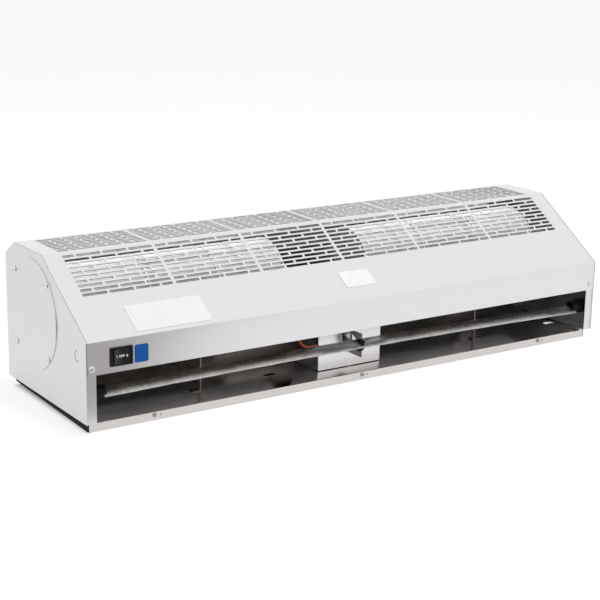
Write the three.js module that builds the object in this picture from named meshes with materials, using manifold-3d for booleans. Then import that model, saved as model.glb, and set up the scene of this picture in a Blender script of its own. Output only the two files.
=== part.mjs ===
// Air curtain for a doorway: a folded stainless casing with two cross-flow rotors inside.
// It lies on its mounting pan, as on a wall turned flat: the outlet faces -Y, the wall is below.
// Millimetres, +Z up, +X to the right of someone who looks into the outlet.
import * as THREE from 'three';
import { mergeGeometries, mergeVertices } from 'three/addons/utils/BufferGeometryUtils.js';
import Module from 'manifold-3d';

const wasm = await Module();
wasm.setup();

// ---------------------------------------------------------------- driving dimensions
// Casing
const length = 914.4; // over the two end plates
const depth = 257; // fascia's front plane to the back wall's outer face
const casingHeight = 203.8; // end plates' lower edge to the top sheet's outer face
const standOff = 14.5; // wall to the end plates' lower edge
const sheet = 1.2; // thickness of the stainless sheet
const gap = 0.3; // between two faces that touch
const outletHeight = 67.65; // end plates' lower edge to the fascia's lower edge
const fasciaHeight = 46.15;
const slopeRun = 136.2; // depth of the slope, seen from above
const chamferRun = 30.7; // depth of the fold between top and back
const chamferDrop = 20.8; // height of the fold between top and back
const flangeWidth = 15.2; // end plates' inward flanges

// Intake slots, laid like bricks in panels side by side
const slotPanels = 6;
const slotMargin = 29.6; // end plate's face to the first panel
const slotPanelGap = 5.2;
const slotWeb = 3.4; // metal between two slots of a row
const slotHeight = 4.9;
const slotRowPitch = 8.08;
const slopeRows = 10;
const slopeRowMargin = 8.5; // upper fold to the first row's middle
const topRowMargin = 8; // least distance from a fold to a row's middle
const longSlotsPerRow = 3;

// Rotors and what carries them
const rotorRadius = 66;
const rotorBackDistance = 89; // axis to the back wall's outer face
const rotorHeight = 113.5; // axis, above the end plates' lower edge
const rotorEndDistance = 41.5; // end plate's face to the rotor's outer disc
const rotorMotorSpace = 23.9; // rotor's inner disc to the motor's nose
const rotorSegments = 3;
const rotorDisc = 2; // thickness of a disc
const rotorRingWidth = 19; // radial width of the middle rings
const bladeCount = 18;
const bladeChord = 15;
const bladeThickness = 1;
const bladeAngle = 38; // degrees from the radius
const hubRadius = 12;
const hubLength = 5.5;
const shaftRadius = 4;
const bearingRadius = 13;
const bearingWidth = 9;
const bearingDistance = 23; // end plate's face to the bearing
const holderWall = 3.5;
const holderLipRadius = 8;
const holderFlangeRadius = 32;
const endShaftSpare = 3; // end shaft beyond the bearing
const bladeSetIn = 1; // blades' outer corners inside the discs' rim

// Round access covers in the end plates
const coverRadius = 80;
const accessRadius = 70;
const coverScrewOffset = 53; // from the axis, both ways
const knockoutRadius = 7.9;
const knockoutY = 26;
const knockoutHeight = 89.8;
const knockoutGroove = 0.8;
const knockoutDepth = 0.5;

// Screws
const screwHeadRadius = 4.6;
const screwHeadHeight = 2.6;
const screwShankRadius = 2;
const screwLength = 8;
const screwClearance = 0.3;
const fasciaScrewInset = 7.8;
const fasciaScrewHeight = 76.9;
const panScrewHeadRadius = 3.1;
const panScrewHeadHeight = 1.6;
const panScrewHeight = 7.4;
const panScrewSpacing = 350.6;

// Mounting pan and wall rails
const panFloor = 11.8; // wall to the pan's upper face
const panSetback = 10.9; // fascia's plane to the pan's front flange
const panInset = 8.1; // end plate's face to the pan's end flange
const panBackInset = 8;
const panHemWidth = 6.5;
const panTaper = 6; // the end flanges are this much lower at the back
const driverSlotWidth = 18; // screwdriver slots in the pan's floor
const driverSlotDepth = 9;
const driverSlotY = 70;
const driverSlotLeft = 330; // left end plate to the first slot
const driverSlotRight = 30.4; // right end plate to the second slot
const railThickness = 1.5;
const railWidth = 30;
const railEndInset = 12; // pan's end to the rail's end
const railSlotLength = 14;
const railSlotWidth = 7;
const railSlotInset = 30.7; // rail's end to its outer slots, which then lie 16 in from the middle

// Centre panel, partition and motors
const panelWidth = 114.4;
const panelSetback = 44; // fascia's plane to the panel's face
const panelDepth = 66; // length of its side walls
const panelBottom = -1.4; // above the end plates' lower edge
const panelTop = 96;
const partitionThickness = 2;
const motorRadius = 42;
const motorLength = 44;
const motorBossLength = 6;
const motorShaftInsertion = 18;
const grommetRadius = 4.5;
const motorBossRadius = 18;
const motorChamfer = 4.2;
const partitionHoleY = 117; // where the right motor's lead passes the partition
const partitionHoleHeight = 70;

// Guides that lead the air round the rotors
const guideInlet = 71.5; // radius where the air turns in
const guideFirstAngle = 55;
const guideLastAngle = -100;
const guideBackAngle = -10; // where the guide is nearest to the back wall
const guideBackSpace = 2.2; // back wall's outer face to the guide's line there
const guideSteps = 12;
const guideFootLength = 33;
const guideSeatShare = 0.35; // how far down the casing's chamfer the guide's leg meets it
const guideSeatSpare = 0.6; // between the leg's corner and the chamfer, on top of the gap
const tongueGap = 5.5; // rotor to the tongue of the outlet's ceiling
const tongueAngle = 190;
const ceilingLip = 8;
const tongueRun = 1.6; // depth of the ceiling's turned-up tongue

// Vane, its bushes and brackets
const vaneEndDistance = 29.7;
const vaneSheet = 1.2;
const vaneFrontY = 5.3;
const vaneFrontHeight = 33.8; // front edge, above the end plates' lower edge
const vaneWidth = 20.6; // front edge to rear edge, along its curve
const vaneFrontSlope = 40; // degrees
const vaneRearSlope = 4;
const vaneSteps = 4;
const pivotY = 17;
const pivotHeight = 37.6;
const bushRadius = 9.3;
const bushLength = 11;
const endBushLength = 17.6;
const vaneInsertion = 4; // vane's end inside an end bush
const bracketReach = 29; // centre panel to the bracket's front edge
const bracketHeight = 36.5;
const bracketBottom = 18.5;
const bracketFootWidth = 16;
const cupWall = 1.4;
const endBracketDistance = 19; // end plate's face to the rim of an end bush's cup

// Posts that stiffen the long outlets
const postDistance = 203.6; // end plate's face to a post
const postY = 55;
const postWidth = 2;
const postDepth = 2.6;
const postFootLength = 14;
const postFootDepth = 12;

// Three-position rocker switch
const switchX = 51.65;
const switchHeight = 89.15;
const bezelWidth = 33.7;
const bezelHeight = 26.3;
const bezelThickness = 2;
const switchBodyWidth = 29;
const switchBodyHeight = 24;
const switchBodyDepth = 20;
const rockerRadius = 12.5;
const rockerHeight = 21;
const rockerPivotY = 0.7;
const rockerHalfDepth = 4.3; // pivot to the rocker's front and back corners
const rockerDish = 1.9; // its face is this much lower in the middle
const rockerPinRadius = 1.4;
const rockerPinLength = 0.8;
const cavityDepth = 9;
const terminalSize = [0.8, 8, 6.3];
const terminalSpacing = 8;

// Wiring
const terminalBlockSize = [50, 22, 16];
const terminalBlockDistance = 84; // end plate's face to the block
const terminalBlockY = 20;
const capacitorSize = [22, 40, 34];
const capacitorY = 62;
const capacitorBottom = 17;
const leadRadius = 1.6;
const panelHoleInset = 5; // the hole in the centre panel's side wall, behind its face
const panelHoleHeight = 38.5;
const ceilingHoleDistance = 40; // from the centre panel
const ceilingHoleInset = 2;
const motorLeadRadius = 2;

// Facets of round pieces
const discSides = 24;
const turnedSides = 20;
const screwSides = 8;

// Blank labels
const labelThickness = 0.3;
const largeLabel = { x: 78, reach: 6, width: 117, height: 47 };
const smallLabel = { fromMiddle: -24.2, reach: 25, width: 54, height: 31 };
const squareLabel = { x: 71.5, height: 76, width: 20.7, rise: 25 };

// ---------------------------------------------------------------- worked-out places
const middle = length / 2;
const fasciaBottom = standOff + outletHeight;
const fasciaTop = fasciaBottom + fasciaHeight;
const casingTop = standOff + casingHeight;
const backFold = depth - chamferRun;
const topRun = backFold - slopeRun;
const rotorY = depth - rotorBackDistance;
const chamferBottom = casingTop - chamferDrop;
const slopeRise = casingTop - fasciaTop;
const slopeLength = Math.hypot(slopeRun, slopeRise);
const slopeAngle = Math.atan2(slopeRise, slopeRun);
const rotorZ = standOff + rotorHeight;
const pivotZ = standOff + pivotHeight;
const switchZ = standOff + switchHeight;
const panelLeft = middle - panelWidth / 2;
const partitionLeft = middle - partitionThickness / 2;
const motorInner = partitionLeft - gap;
const motorFace = motorInner - motorLength;
const motorNose = motorFace - motorBossLength;
const rotorEnd = motorNose - rotorMotorSpace;
const screwHole = screwShankRadius + screwClearance;
const shaftBore = shaftRadius + gap;
const ceilingZ = fasciaBottom + gap;

// Outer outline of the casing's section, as [y, z] from the front lower corner round to the back.
const outline = [
  [0, standOff],
  [0, fasciaTop],
  [slopeRun, casingTop],
  [backFold, casingTop],
  [depth, chamferBottom],
  [depth, standOff],
];

// ---------------------------------------------------------------- geometry helpers
const material = (color, roughness, metalness) =>
  new THREE.MeshStandardMaterial({ color, roughness, metalness });
const stainless = () => material(0xe2e3e6, 0.35, 0.9);
const galvanised = () => material(0xa9a8a4, 0.5, 0.9);
const aluminium = () => material(0xcfd1d4, 0.4, 0.9);
const brightSteel = () => material(0xd8d8d8, 0.25, 1);
const blackPlastic = () => material(0x161617, 0.5, 0);

// Merge a geometry's shared corners and drop the empty triangles at its poles.
function merged(geometry) {
  const bare = geometry.clone();
  bare.deleteAttribute('normal');
  bare.deleteAttribute('uv');
  const joined = mergeVertices(bare, 1e-4);
  const source = joined.index.array;
  const kept = [];
  for (let i = 0; i < source.length; i += 3) {
    const [a, b, c] = [source[i], source[i + 1], source[i + 2]];
    if (a !== b && b !== c && c !== a) kept.push(a, b, c);
  }
  joined.setIndex(kept);
  return joined;
}

// A closed mesh as a solid that can be joined and cut.
function solid(geometry) {
  const closed = merged(geometry);
  const vertProperties = Float32Array.from(closed.attributes.position.array);
  const triVerts = Uint32Array.from(closed.index.array);
  return new wasm.Manifold(new wasm.Mesh({ numProp: 3, vertProperties, triVerts }));
}

// The triangles of a solid, as a geometry.
function geometryOf(manifold) {
  const mesh = manifold.getMesh();
  const geometry = new THREE.BufferGeometry();
  const positions = new THREE.BufferAttribute(Float32Array.from(mesh.vertProperties), 3);
  geometry.setAttribute('position', positions);
  geometry.setIndex(new THREE.BufferAttribute(Uint32Array.from(mesh.triVerts), 1));
  return geometry;
}

// The base with every cutter taken away.
function cut(base, ...cutters) {
  return geometryOf(cutters.reduce((rest, cutter) => rest.subtract(solid(cutter)), solid(base)));
}

// All the given geometries as one solid.
function join(first, ...others) {
  return geometryOf(others.reduce((sum, other) => sum.add(solid(other)), solid(first)));
}

// A box between two corners.
function block([x0, y0, z0], [x1, y1, z1]) {
  const box = new THREE.BoxGeometry(x1 - x0, y1 - y0, z1 - z0);
  return box.translate((x0 + x1) / 2, (y0 + y1) / 2, (z0 + z1) / 2);
}

// Points that run anticlockwise, as a shape and its holes need them.
function anticlockwise(points) {
  const corners = points.map(([u, v]) => new THREE.Vector2(u, v));
  return THREE.ShapeUtils.isClockWise(corners) ? corners.reverse() : corners;
}

function shapeOf(points, holes = []) {
  const shape = new THREE.Shape(anticlockwise(points));
  shape.holes = holes.map((hole) => new THREE.Path(anticlockwise(hole)));
  return shape;
}

const extruded = (shape, distance) =>
  new THREE.ExtrudeGeometry(shape, { depth: distance, bevelEnabled: false });

// A [y, z] section carried along X.
function alongX(points, from, to, holes = []) {
  const turn = new THREE.Matrix4().makeBasis(
    new THREE.Vector3(0, 1, 0), new THREE.Vector3(0, 0, 1), new THREE.Vector3(1, 0, 0));
  return extruded(shapeOf(points, holes), to - from).applyMatrix4(turn).translate(from, 0, 0);
}

// An [x, z] section carried along Y.
function alongY(points, from, to, holes = []) {
  const turn = new THREE.Matrix4().makeBasis(
    new THREE.Vector3(1, 0, 0), new THREE.Vector3(0, 0, 1), new THREE.Vector3(0, -1, 0));
  return extruded(shapeOf(points, holes), to - from).applyMatrix4(turn).translate(0, to, 0);
}

// An [x, y] section carried along Z.
const alongZ = (points, from, to, holes = []) =>
  extruded(shapeOf(points, holes), to - from).translate(0, 0, from);

const rectangle = ([u0, v0], [u1, v1]) => [[u0, v0], [u1, v0], [u1, v1], [u0, v1]];

function circle([u, v], radius, sides) {
  return Array.from({ length: sides }, (_, i) => {
    const turn = ((i + 0.5) / sides) * 2 * Math.PI;
    return [u + radius * Math.cos(turn), v + radius * Math.sin(turn)];
  });
}

// Points a distance to the right of a line that is walked from its first point to its last.
function rightOf(points, distances, closed) {
  const count = points.length;
  const edge = (i) => {
    const [a, b] = [points[(i + count) % count], points[(i + 1 + count) % count]];
    const long = Math.hypot(b[0] - a[0], b[1] - a[1]);
    return [(b[1] - a[1]) / long, (a[0] - b[0]) / long];
  };
  return points.map(([u, v], i) => {
    const before = closed || i > 0 ? i - 1 : i;
    const after = closed || i < count - 1 ? i : i - 1;
    const [n, m] = [edge(before), edge(after)];
    const p = distances[(before + count) % count];
    const q = distances[(after + count) % count];
    const across = n[0] * m[1] - n[1] * m[0];
    if (Math.abs(across) < 1e-9) return [u + n[0] * p, v + n[1] * p];
    return [u + (p * m[1] - q * n[1]) / across, v + (q * n[0] - p * m[0]) / across];
  });
}

// The section of a sheet folded along a line, its thickness to the line's right.
function folded(points, thickness) {
  return [...points, ...rightOf(points, points.map(() => thickness), false).reverse()];
}

// The casing's section, moved in by one distance all round except at its open lower side.
function insetOutline(distance) {
  const distances = outline.map((_, i) => (i < outline.length - 1 ? distance : 0));
  return rightOf(outline, distances, true);
}

// A ring or disc about an axis along X: profile points are [x, radius].
function turned(profile, [y, z], sides) {
  const points = profile.map(([x, radius]) => new THREE.Vector2(radius, x));
  return new THREE.LatheGeometry(points, sides).rotateZ(-Math.PI / 2).translate(0, y, z);
}

// A round bar along X.
const bar = (from, to, radius, centre, sides = turnedSides) =>
  turned([[from, 0], [from, radius], [to, radius], [to, 0]], centre, sides);

// The right-hand copy of a left-hand piece.
function mirrored(geometry) {
  const copy = merged(geometry).scale(-1, 1, 1).translate(length, 0, 0);
  const index = copy.index.array;
  for (let i = 0; i < index.length; i += 3) {
    [index[i + 1], index[i + 2]] = [index[i + 2], index[i + 1]];
  }
  return copy;
}

// A pan-head screw whose head sits on the origin and points along +Y before it is turned.
function screw(headRadius, headHeight, shankRadius, shankLength) {
  const profile = [
    [0, headHeight], [0.55 * headRadius, headHeight], [headRadius, 0.4 * headHeight],
    [headRadius, 0], [shankRadius, 0], [shankRadius, -shankLength], [0, -shankLength],
  ];
  const points = profile.map(([radius, along]) => new THREE.Vector2(radius, along)).reverse();
  return new THREE.LatheGeometry(points, screwSides);
}

// A round lead through points chosen along its route.
function lead(points, radius) {
  const path = new THREE.CatmullRomCurve3(points.map((point) => new THREE.Vector3(...point)));
  const steps = Math.ceil(path.getLength() / (6 * radius));
  const section = shapeOf(circle([0, 0], radius, 8));
  return new THREE.ExtrudeGeometry(section, { steps, extrudePath: path });
}

// ---------------------------------------------------------------- the model's group
const model = new THREE.Group();

function add(name, geometry, look) {
  const closed = merged(geometry);
  closed.computeVertexNormals();
  const mesh = new THREE.Mesh(closed, look);
  mesh.name = name;
  model.add(mesh);
}

// A left-hand piece and its mirror image.
function addPair(name, geometry, look) {
  add(`${name}_left`, geometry, look);
  add(`${name}_right`, mirrored(geometry), look.clone());
}

// ---------------------------------------------------------------- casing
const slotField = length - 2 * slotMargin;
const slotPanelWidth = (slotField - (slotPanels - 1) * slotPanelGap) / slotPanels;
// A short slot is half a brick, so one long slot and its web are as wide as two short ones with theirs.
const shortShare = 0.5;
const longSlot =
  (slotPanelWidth - (longSlotsPerRow - shortShare) * slotWeb) / (longSlotsPerRow + shortShare);
const shortSlot = shortShare * (longSlot - slotWeb);

// The [from, to] of every slot in one row, its short slot first or last.
function slotRow(shortFirst) {
  const row = [];
  for (let panel = 0; panel < slotPanels; panel += 1) {
    let x = slotMargin + panel * (slotPanelWidth + slotPanelGap);
    for (let i = 0; i <= longSlotsPerRow; i += 1) {
      const isShort = shortFirst ? i === 0 : i === longSlotsPerRow;
      const width = isShort ? shortSlot : longSlot;
      row.push([x, x + width]);
      x += width + slotWeb;
    }
  }
  return row;
}

// One cutter for a face's slots: rows run along X, [y, z] is the face's lower fold, and the
// rows' middles lie at the given reaches up the face.
function slotCutter([y, z], angle, reaches) {
  const through = 3 * sheet;
  const boxes = reaches.flatMap((reach, i) =>
    slotRow(i % 2 === 0).map(([from, to]) =>
      block([from, reach - slotHeight / 2, -through], [to, reach + slotHeight / 2, through])));
  return mergeGeometries(boxes).rotateX(angle).translate(0, y, z);
}

function casing() {
  const section = folded([[0, fasciaBottom], ...outline.slice(1)], sheet);
  const shell = alongX(section, sheet + gap, length - sheet - gap);
  const slopeReaches = Array.from({ length: slopeRows }, (_, i) =>
    slopeLength - slopeRowMargin - i * slotRowPitch);
  const topRows = Math.floor((topRun - 2 * topRowMargin) / slotRowPitch) + 1;
  const topStart = (topRun - (topRows - 1) * slotRowPitch) / 2;
  const topReaches = Array.from({ length: topRows }, (_, i) => topStart + i * slotRowPitch);
  const screwCentre = (x) => [x, standOff + fasciaScrewHeight];
  const screwHoles = [fasciaScrewInset, length - fasciaScrewInset].map((x) =>
    alongY(circle(screwCentre(x), screwHole, screwSides), -sheet, 2 * sheet));
  const half = [switchBodyWidth / 2 + gap, switchBodyHeight / 2 + gap];
  const switchHole = block(
    [switchX - half[0], -sheet, switchZ - half[1]],
    [switchX + half[0], 2 * sheet, switchZ + half[1]]);
  return cut(
    shell,
    slotCutter([0, fasciaTop], slopeAngle, slopeReaches),
    slotCutter([slopeRun, casingTop], 0, topReaches),
    ...screwHoles,
    switchHole);
}

add('casing', casing(), stainless());

// ---------------------------------------------------------------- end plates and covers
const coverScrewPlaces = [[1, 1], [-1, 1], [1, -1], [-1, -1]].map(([up, across]) =>
  [rotorY + across * coverScrewOffset, rotorZ + up * coverScrewOffset]);
const coverScrewHoles = () =>
  coverScrewPlaces.map((place) => circle(place, screwHole, screwSides));

function endPlate() {
  const holes = [circle([rotorY, rotorZ], accessRadius, 2 * discSides), ...coverScrewHoles()];
  const face = alongX(outline, 0, sheet, holes);
  const outer = insetOutline(sheet + gap);
  const inner = rightOf(outer, outer.map(() => sheet), true);
  const flanges = alongX(outer, sheet / 2, flangeWidth, [inner]);
  const plate = join(face, flanges);
  const knockoutCentre = [knockoutY, standOff + knockoutHeight];
  const groove = alongX(
    circle(knockoutCentre, knockoutRadius, 24), -knockoutDepth, knockoutDepth,
    [circle(knockoutCentre, knockoutRadius - knockoutGroove, 24)]);
  const screwPlace = [fasciaScrewInset, standOff + fasciaScrewHeight];
  const screwPath = alongY(circle(screwPlace, screwHole, screwSides), 0, 4 * sheet);
  return cut(plate, groove, screwPath);
}

const accessCover = () =>
  alongX(circle([rotorY, rotorZ], coverRadius, 2 * discSides), -gap - sheet, -gap, coverScrewHoles());

addPair('end_plate', endPlate(), stainless());
addPair('access_cover', accessCover(), stainless());
coverScrewPlaces.forEach(([y, z], i) => {
  const piece = screw(screwHeadRadius, screwHeadHeight, screwShankRadius, screwLength)
    .rotateZ(Math.PI / 2).translate(-2 * gap - sheet, y, z);
  add(`cover_screw_left_${i + 1}`, piece, brightSteel());
  add(`cover_screw_right_${i + 1}`, mirrored(piece), brightSteel());
});
addPair(
  'fascia_screw',
  screw(screwHeadRadius, screwHeadHeight, screwShankRadius, screwLength)
    .rotateX(Math.PI).translate(fasciaScrewInset, -gap, standOff + fasciaScrewHeight),
  brightSteel());

// ---------------------------------------------------------------- mounting pan and wall rails
const panBack = depth - panBackInset;
const panRight = length - panInset;
const panScrewPlaces = [-1, 0, 1].map((side) => middle + side * panScrewSpacing);
const panScrewZ = panScrewHeight;

function mountingPan() {
  const floor = block(
    [panInset, panSetback, panFloor - sheet], [panRight, panBack, panFloor]);
  const front = block([panInset, panSetback, 0], [panRight, panSetback + sheet, panFloor]);
  const back = block([panInset, panBack - sheet, panTaper], [panRight, panBack, panFloor]);
  const end = [[panSetback, 0], [panSetback, panFloor], [panBack, panFloor], [panBack, panTaper]];
  const hemTop = standOff - gap;
  const hem = block(
    [panInset, panSetback, panFloor - sheet], [panInset + panHemWidth, panBack, hemTop]);
  const left = [alongX(end, panInset, panInset + sheet), hem];
  const pan = join(floor, front, back, ...left, ...left.map(mirrored));
  const slots = [driverSlotLeft, length - driverSlotRight].map((x) => block(
    [x - driverSlotWidth / 2, driverSlotY - driverSlotDepth / 2, 0],
    [x + driverSlotWidth / 2, driverSlotY + driverSlotDepth / 2, 2 * panFloor]));
  const screwPaths = panScrewPlaces.map((x) =>
    alongY(circle([x, panScrewZ], screwHole, screwSides), 0, panSetback + 2 * sheet));
  return cut(pan, ...slots, ...screwPaths);
}

// An angle rail: its upright stands against a pan flange, its foot lies on the wall.
function wallRail(uprightY, footY) {
  const [from, to] = [panInset + railEndInset, panRight - railEndInset];
  const top = panFloor - sheet - gap;
  const inward = Math.sign(footY - uprightY);
  const line = [[uprightY, top], [uprightY, 0], [footY, 0]];
  const rail = alongX(folded(inward > 0 ? line.reverse() : line, railThickness), from, to);
  const slotY = (uprightY + footY) / 2 + inward * railThickness;
  const slots = [from + railSlotInset, middle, to - railSlotInset].map((x) => block(
    [x - railSlotLength / 2, slotY - railSlotWidth / 2, -railThickness],
    [x + railSlotLength / 2, slotY + railSlotWidth / 2, 2 * railThickness]));
  const pilots = panScrewPlaces.map((x) =>
    alongY(circle([x, panScrewZ], screwHole, screwSides), 0, panSetback + 4 * sheet));
  return cut(rail, ...slots, ...pilots);
}

add('mounting_pan', mountingPan(), stainless());
add('wall_rail_front',
  wallRail(panSetback + sheet + gap, panSetback + sheet + gap + railWidth), galvanised());
add('wall_rail_back',
  wallRail(panBack - sheet - gap, panBack - sheet - gap - railWidth), galvanised());
panScrewPlaces.forEach((x, i) => {
  const piece = screw(panScrewHeadRadius, panScrewHeadHeight, screwShankRadius, screwLength)
    .rotateX(Math.PI).translate(x, panSetback - gap, panScrewZ);
  add(`pan_screw_${i + 1}`, piece, brightSteel());
});

// ---------------------------------------------------------------- centre panel and partition
const panelBackY = panelSetback + panelDepth;
const leadHole = { wallY: panelSetback + panelHoleInset, wallZ: standOff + panelHoleHeight };
const ceilingHole = { x: panelLeft - ceilingHoleDistance, y: panelSetback + ceilingHoleInset };

function centrePanel() {
  const line = [
    [panelLeft, panelBackY], [panelLeft, panelSetback],
    [length - panelLeft, panelSetback], [length - panelLeft, panelBackY],
  ];
  const shell = alongZ(
    folded(line.reverse(), sheet), standOff + panelBottom, standOff + panelTop);
  const hole = circle([leadHole.wallY, leadHole.wallZ], grommetRadius, 12);
  return cut(shell, alongX(hole, panelLeft - sheet, panelLeft + 2 * sheet));
}

function partition() {
  const inner = insetOutline(sheet + gap);
  const plate = alongX(inner, partitionLeft, partitionLeft + partitionThickness);
  const front = panelSetback + sheet + gap;
  const frontCut = block([0, -1, 0], [length, front, casingTop]);
  const footCut = block([0, -1, 0], [length, depth, standOff + sheet]);
  const foot = block(
    [partitionLeft, front, panFloor + gap],
    [partitionLeft + partitionThickness, panBack - 2 * sheet, standOff + 2 * sheet]);
  const leadWay = alongX(
    circle([partitionHoleY, standOff + partitionHoleHeight], grommetRadius, 12),
    partitionLeft - sheet, partitionLeft + partitionThickness + sheet);
  const trimmed = cut(plate, frontCut, footCut);
  return cut(join(trimmed, foot), leadWay);
}

add('centre_panel', centrePanel(), stainless());
add('motor_partition', partition(), galvanised());

// ---------------------------------------------------------------- air guides
// The guide behind a rotor is a spiral that clears the back wall and opens until it lies on the
// pan's floor.
function guideLine() {
  const floor = panFloor + gap;
  const knots = [
    [guideFirstAngle, guideInlet],
    [guideBackAngle,
      (rotorBackDistance - guideBackSpace) / Math.cos(THREE.MathUtils.degToRad(guideBackAngle))],
    [guideLastAngle, (floor - rotorZ) / Math.sin(THREE.MathUtils.degToRad(guideLastAngle))],
  ];
  // Between two knots the radius grows by the same share for each degree.
  const radiusAt = (angle) => {
    const [[from, start], [to, end]] = angle >= guideBackAngle ? knots.slice(0, 2) : knots.slice(1);
    return start * (end / start) ** ((angle - from) / (to - from));
  };
  const spiral = Array.from({ length: guideSteps + 1 }, (_, i) => {
    const angle = guideFirstAngle + (i / guideSteps) * (guideLastAngle - guideFirstAngle);
    const turn = THREE.MathUtils.degToRad(angle);
    const radius = radiusAt(angle);
    return [rotorY + radius * Math.cos(turn), rotorZ + radius * Math.sin(turn)];
  });
  const [, , , upper, lower] = insetOutline(sheet + gap + guideSeatSpare);
  const seat = upper.map((value, i) => value + guideSeatShare * (lower[i] - value));
  const foot = [spiral[guideSteps][0] - guideFootLength, floor];
  return [seat, ...spiral, foot];
}

const rearGuide = () =>
  alongX(folded(guideLine(), sheet), flangeWidth + gap, partitionLeft - gap);

function outletCeiling() {
  const lipY = sheet + gap;
  const nose = rotorRadius + tongueGap;
  const turn = THREE.MathUtils.degToRad(tongueAngle);
  const tip = [rotorY + nose * Math.cos(turn), rotorZ + nose * Math.sin(turn)];
  const line = [
    [lipY, ceilingZ + ceilingLip], [lipY, ceilingZ], [tip[0] - tongueRun, ceilingZ], tip,
  ];
  const plate = alongX(
    folded(line.reverse(), sheet), flangeWidth + gap, panelLeft - gap);
  const hole = circle([ceilingHole.x, ceilingHole.y], grommetRadius, 12);
  return cut(plate, alongZ(hole, ceilingZ - sheet, ceilingZ + 2 * sheet));
}

addPair('rear_guide', rearGuide(), galvanised());
addPair('outlet_ceiling', outletCeiling(), galvanised());

// A post with a foot on the pan's floor and a head under the outlet's ceiling.
function outletPost() {
  const [low, high] = [panFloor + gap, ceilingZ - gap];
  const post = block([postDistance, postY, low], [postDistance + postWidth, postY + postDepth, high]);
  const tab = (from) => block(
    [postDistance + postWidth - postFootLength, postY, from],
    [postDistance + postWidth, postY + postFootDepth, from + sheet]);
  return join(post, tab(low), tab(high - sheet));
}

addPair('outlet_post', outletPost(), brightSteel());

// ---------------------------------------------------------------- vane
const pivot = [pivotY, pivotZ];

// The vane's section: an arc that rises steeply from the front edge and flattens to the rear.
function vaneLine() {
  const step = vaneWidth / vaneSteps;
  const points = [[vaneFrontY, standOff + vaneFrontHeight]];
  for (let i = 0; i < vaneSteps; i += 1) {
    const share = (i + 0.5) / vaneSteps;
    const slope = THREE.MathUtils.degToRad(
      vaneFrontSlope + share * (vaneRearSlope - vaneFrontSlope));
    const [y, z] = points[i];
    points.push([y + step * Math.cos(slope), z + step * Math.sin(slope)]);
  }
  return points;
}

const vane = () =>
  alongX(folded(vaneLine(), vaneSheet), vaneEndDistance, length - vaneEndDistance);

// Room for the vane's section inside a bush: the same arc, wider by the gap on every side.
function vaneSlot(from, to) {
  const points = vaneLine();
  const [before, rear] = points.slice(-2);
  const share = gap / Math.hypot(rear[0] - before[0], rear[1] - before[1]);
  const longer = rear.map((value, i) => value + share * (value - before[i]));
  const line = [...points.slice(0, -1), longer];
  const outer = rightOf(line, line.map(() => -gap), false);
  return alongX(folded(outer, vaneSheet + 2 * gap), from, to);
}

// A nylon bush that turns with the vane. An end bush only takes the vane's end.
function vaneBush(from, to, slotFrom, slotTo) {
  return cut(bar(from, to, bushRadius, pivot, 24), vaneSlot(slotFrom, slotTo));
}

// The centre bracket: a foot against the centre panel and a side plate that holds the bush.
function centreBracket() {
  const panelFace = panelSetback - gap;
  const front = panelSetback - bracketReach;
  const [low, high] = [standOff + bracketBottom, standOff + bracketBottom + bracketHeight];
  const foot = block(
    [middle - bracketFootWidth, panelFace - sheet, low], [middle, panelFace, high]);
  const seat = circle(pivot, bushRadius + gap, 24);
  const side = alongX(rectangle([front, low], [panelFace, high]), middle, middle + sheet);
  const windowBack = panelFace - 2 * sheet;
  const windowFront = pivotY + bushRadius + 3 * sheet;
  const window = [
    [windowBack, high - 4 * sheet], [windowBack, pivotZ - bushRadius / 2],
    [windowFront, pivotZ - bushRadius / 4],
  ];
  return cut(
    join(foot, side),
    alongX(seat, middle - sheet, middle + 2 * sheet),
    alongX(window, middle - sheet, middle + 2 * sheet));
}

const endBushTo = vaneEndDistance + vaneInsertion;

// A nylon cup on the end plate's inner face: the end of the end bush turns in its seat.
function endBracket() {
  const seat = bushRadius + gap;
  const outer = seat + cupWall;
  const floor = endBushTo - endBushLength - gap;
  return turned(
    [[sheet + gap, 0], [sheet + gap, outer], [endBracketDistance, outer],
      [endBracketDistance, seat], [floor, seat], [floor, 0]],
    pivot, 24);
}

add('vane', vane(), galvanised());
addPair(
  'vane_bush',
  vaneBush(endBushTo - endBushLength, endBushTo, vaneEndDistance - gap, length),
  blackPlastic());
add(
  'vane_bush_centre',
  vaneBush(middle + (sheet - bushLength) / 2, middle + (sheet + bushLength) / 2, 0, length),
  blackPlastic());
addPair('vane_bracket', endBracket(), blackPlastic());
add('centre_bracket', centreBracket(), stainless());

// ---------------------------------------------------------------- rotors
const axis = [rotorY, rotorZ];

function rotorBlades() {
  const radial = bladeChord * Math.cos(THREE.MathUtils.degToRad(bladeAngle));
  const inner = rotorRadius - bladeSetIn - radial;
  const [from, to] = [rotorEndDistance + rotorDisc / 2, rotorEnd - rotorDisc / 2];
  const blades = Array.from({ length: bladeCount }, (_, i) =>
    block([from, 0, -bladeThickness / 2], [to, bladeChord, bladeThickness / 2])
      .rotateX(THREE.MathUtils.degToRad(bladeAngle))
      .translate(0, inner, 0)
      .rotateX((i / bladeCount) * 2 * Math.PI));
  return mergeGeometries(blades).translate(0, rotorY, rotorZ);
}

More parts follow.
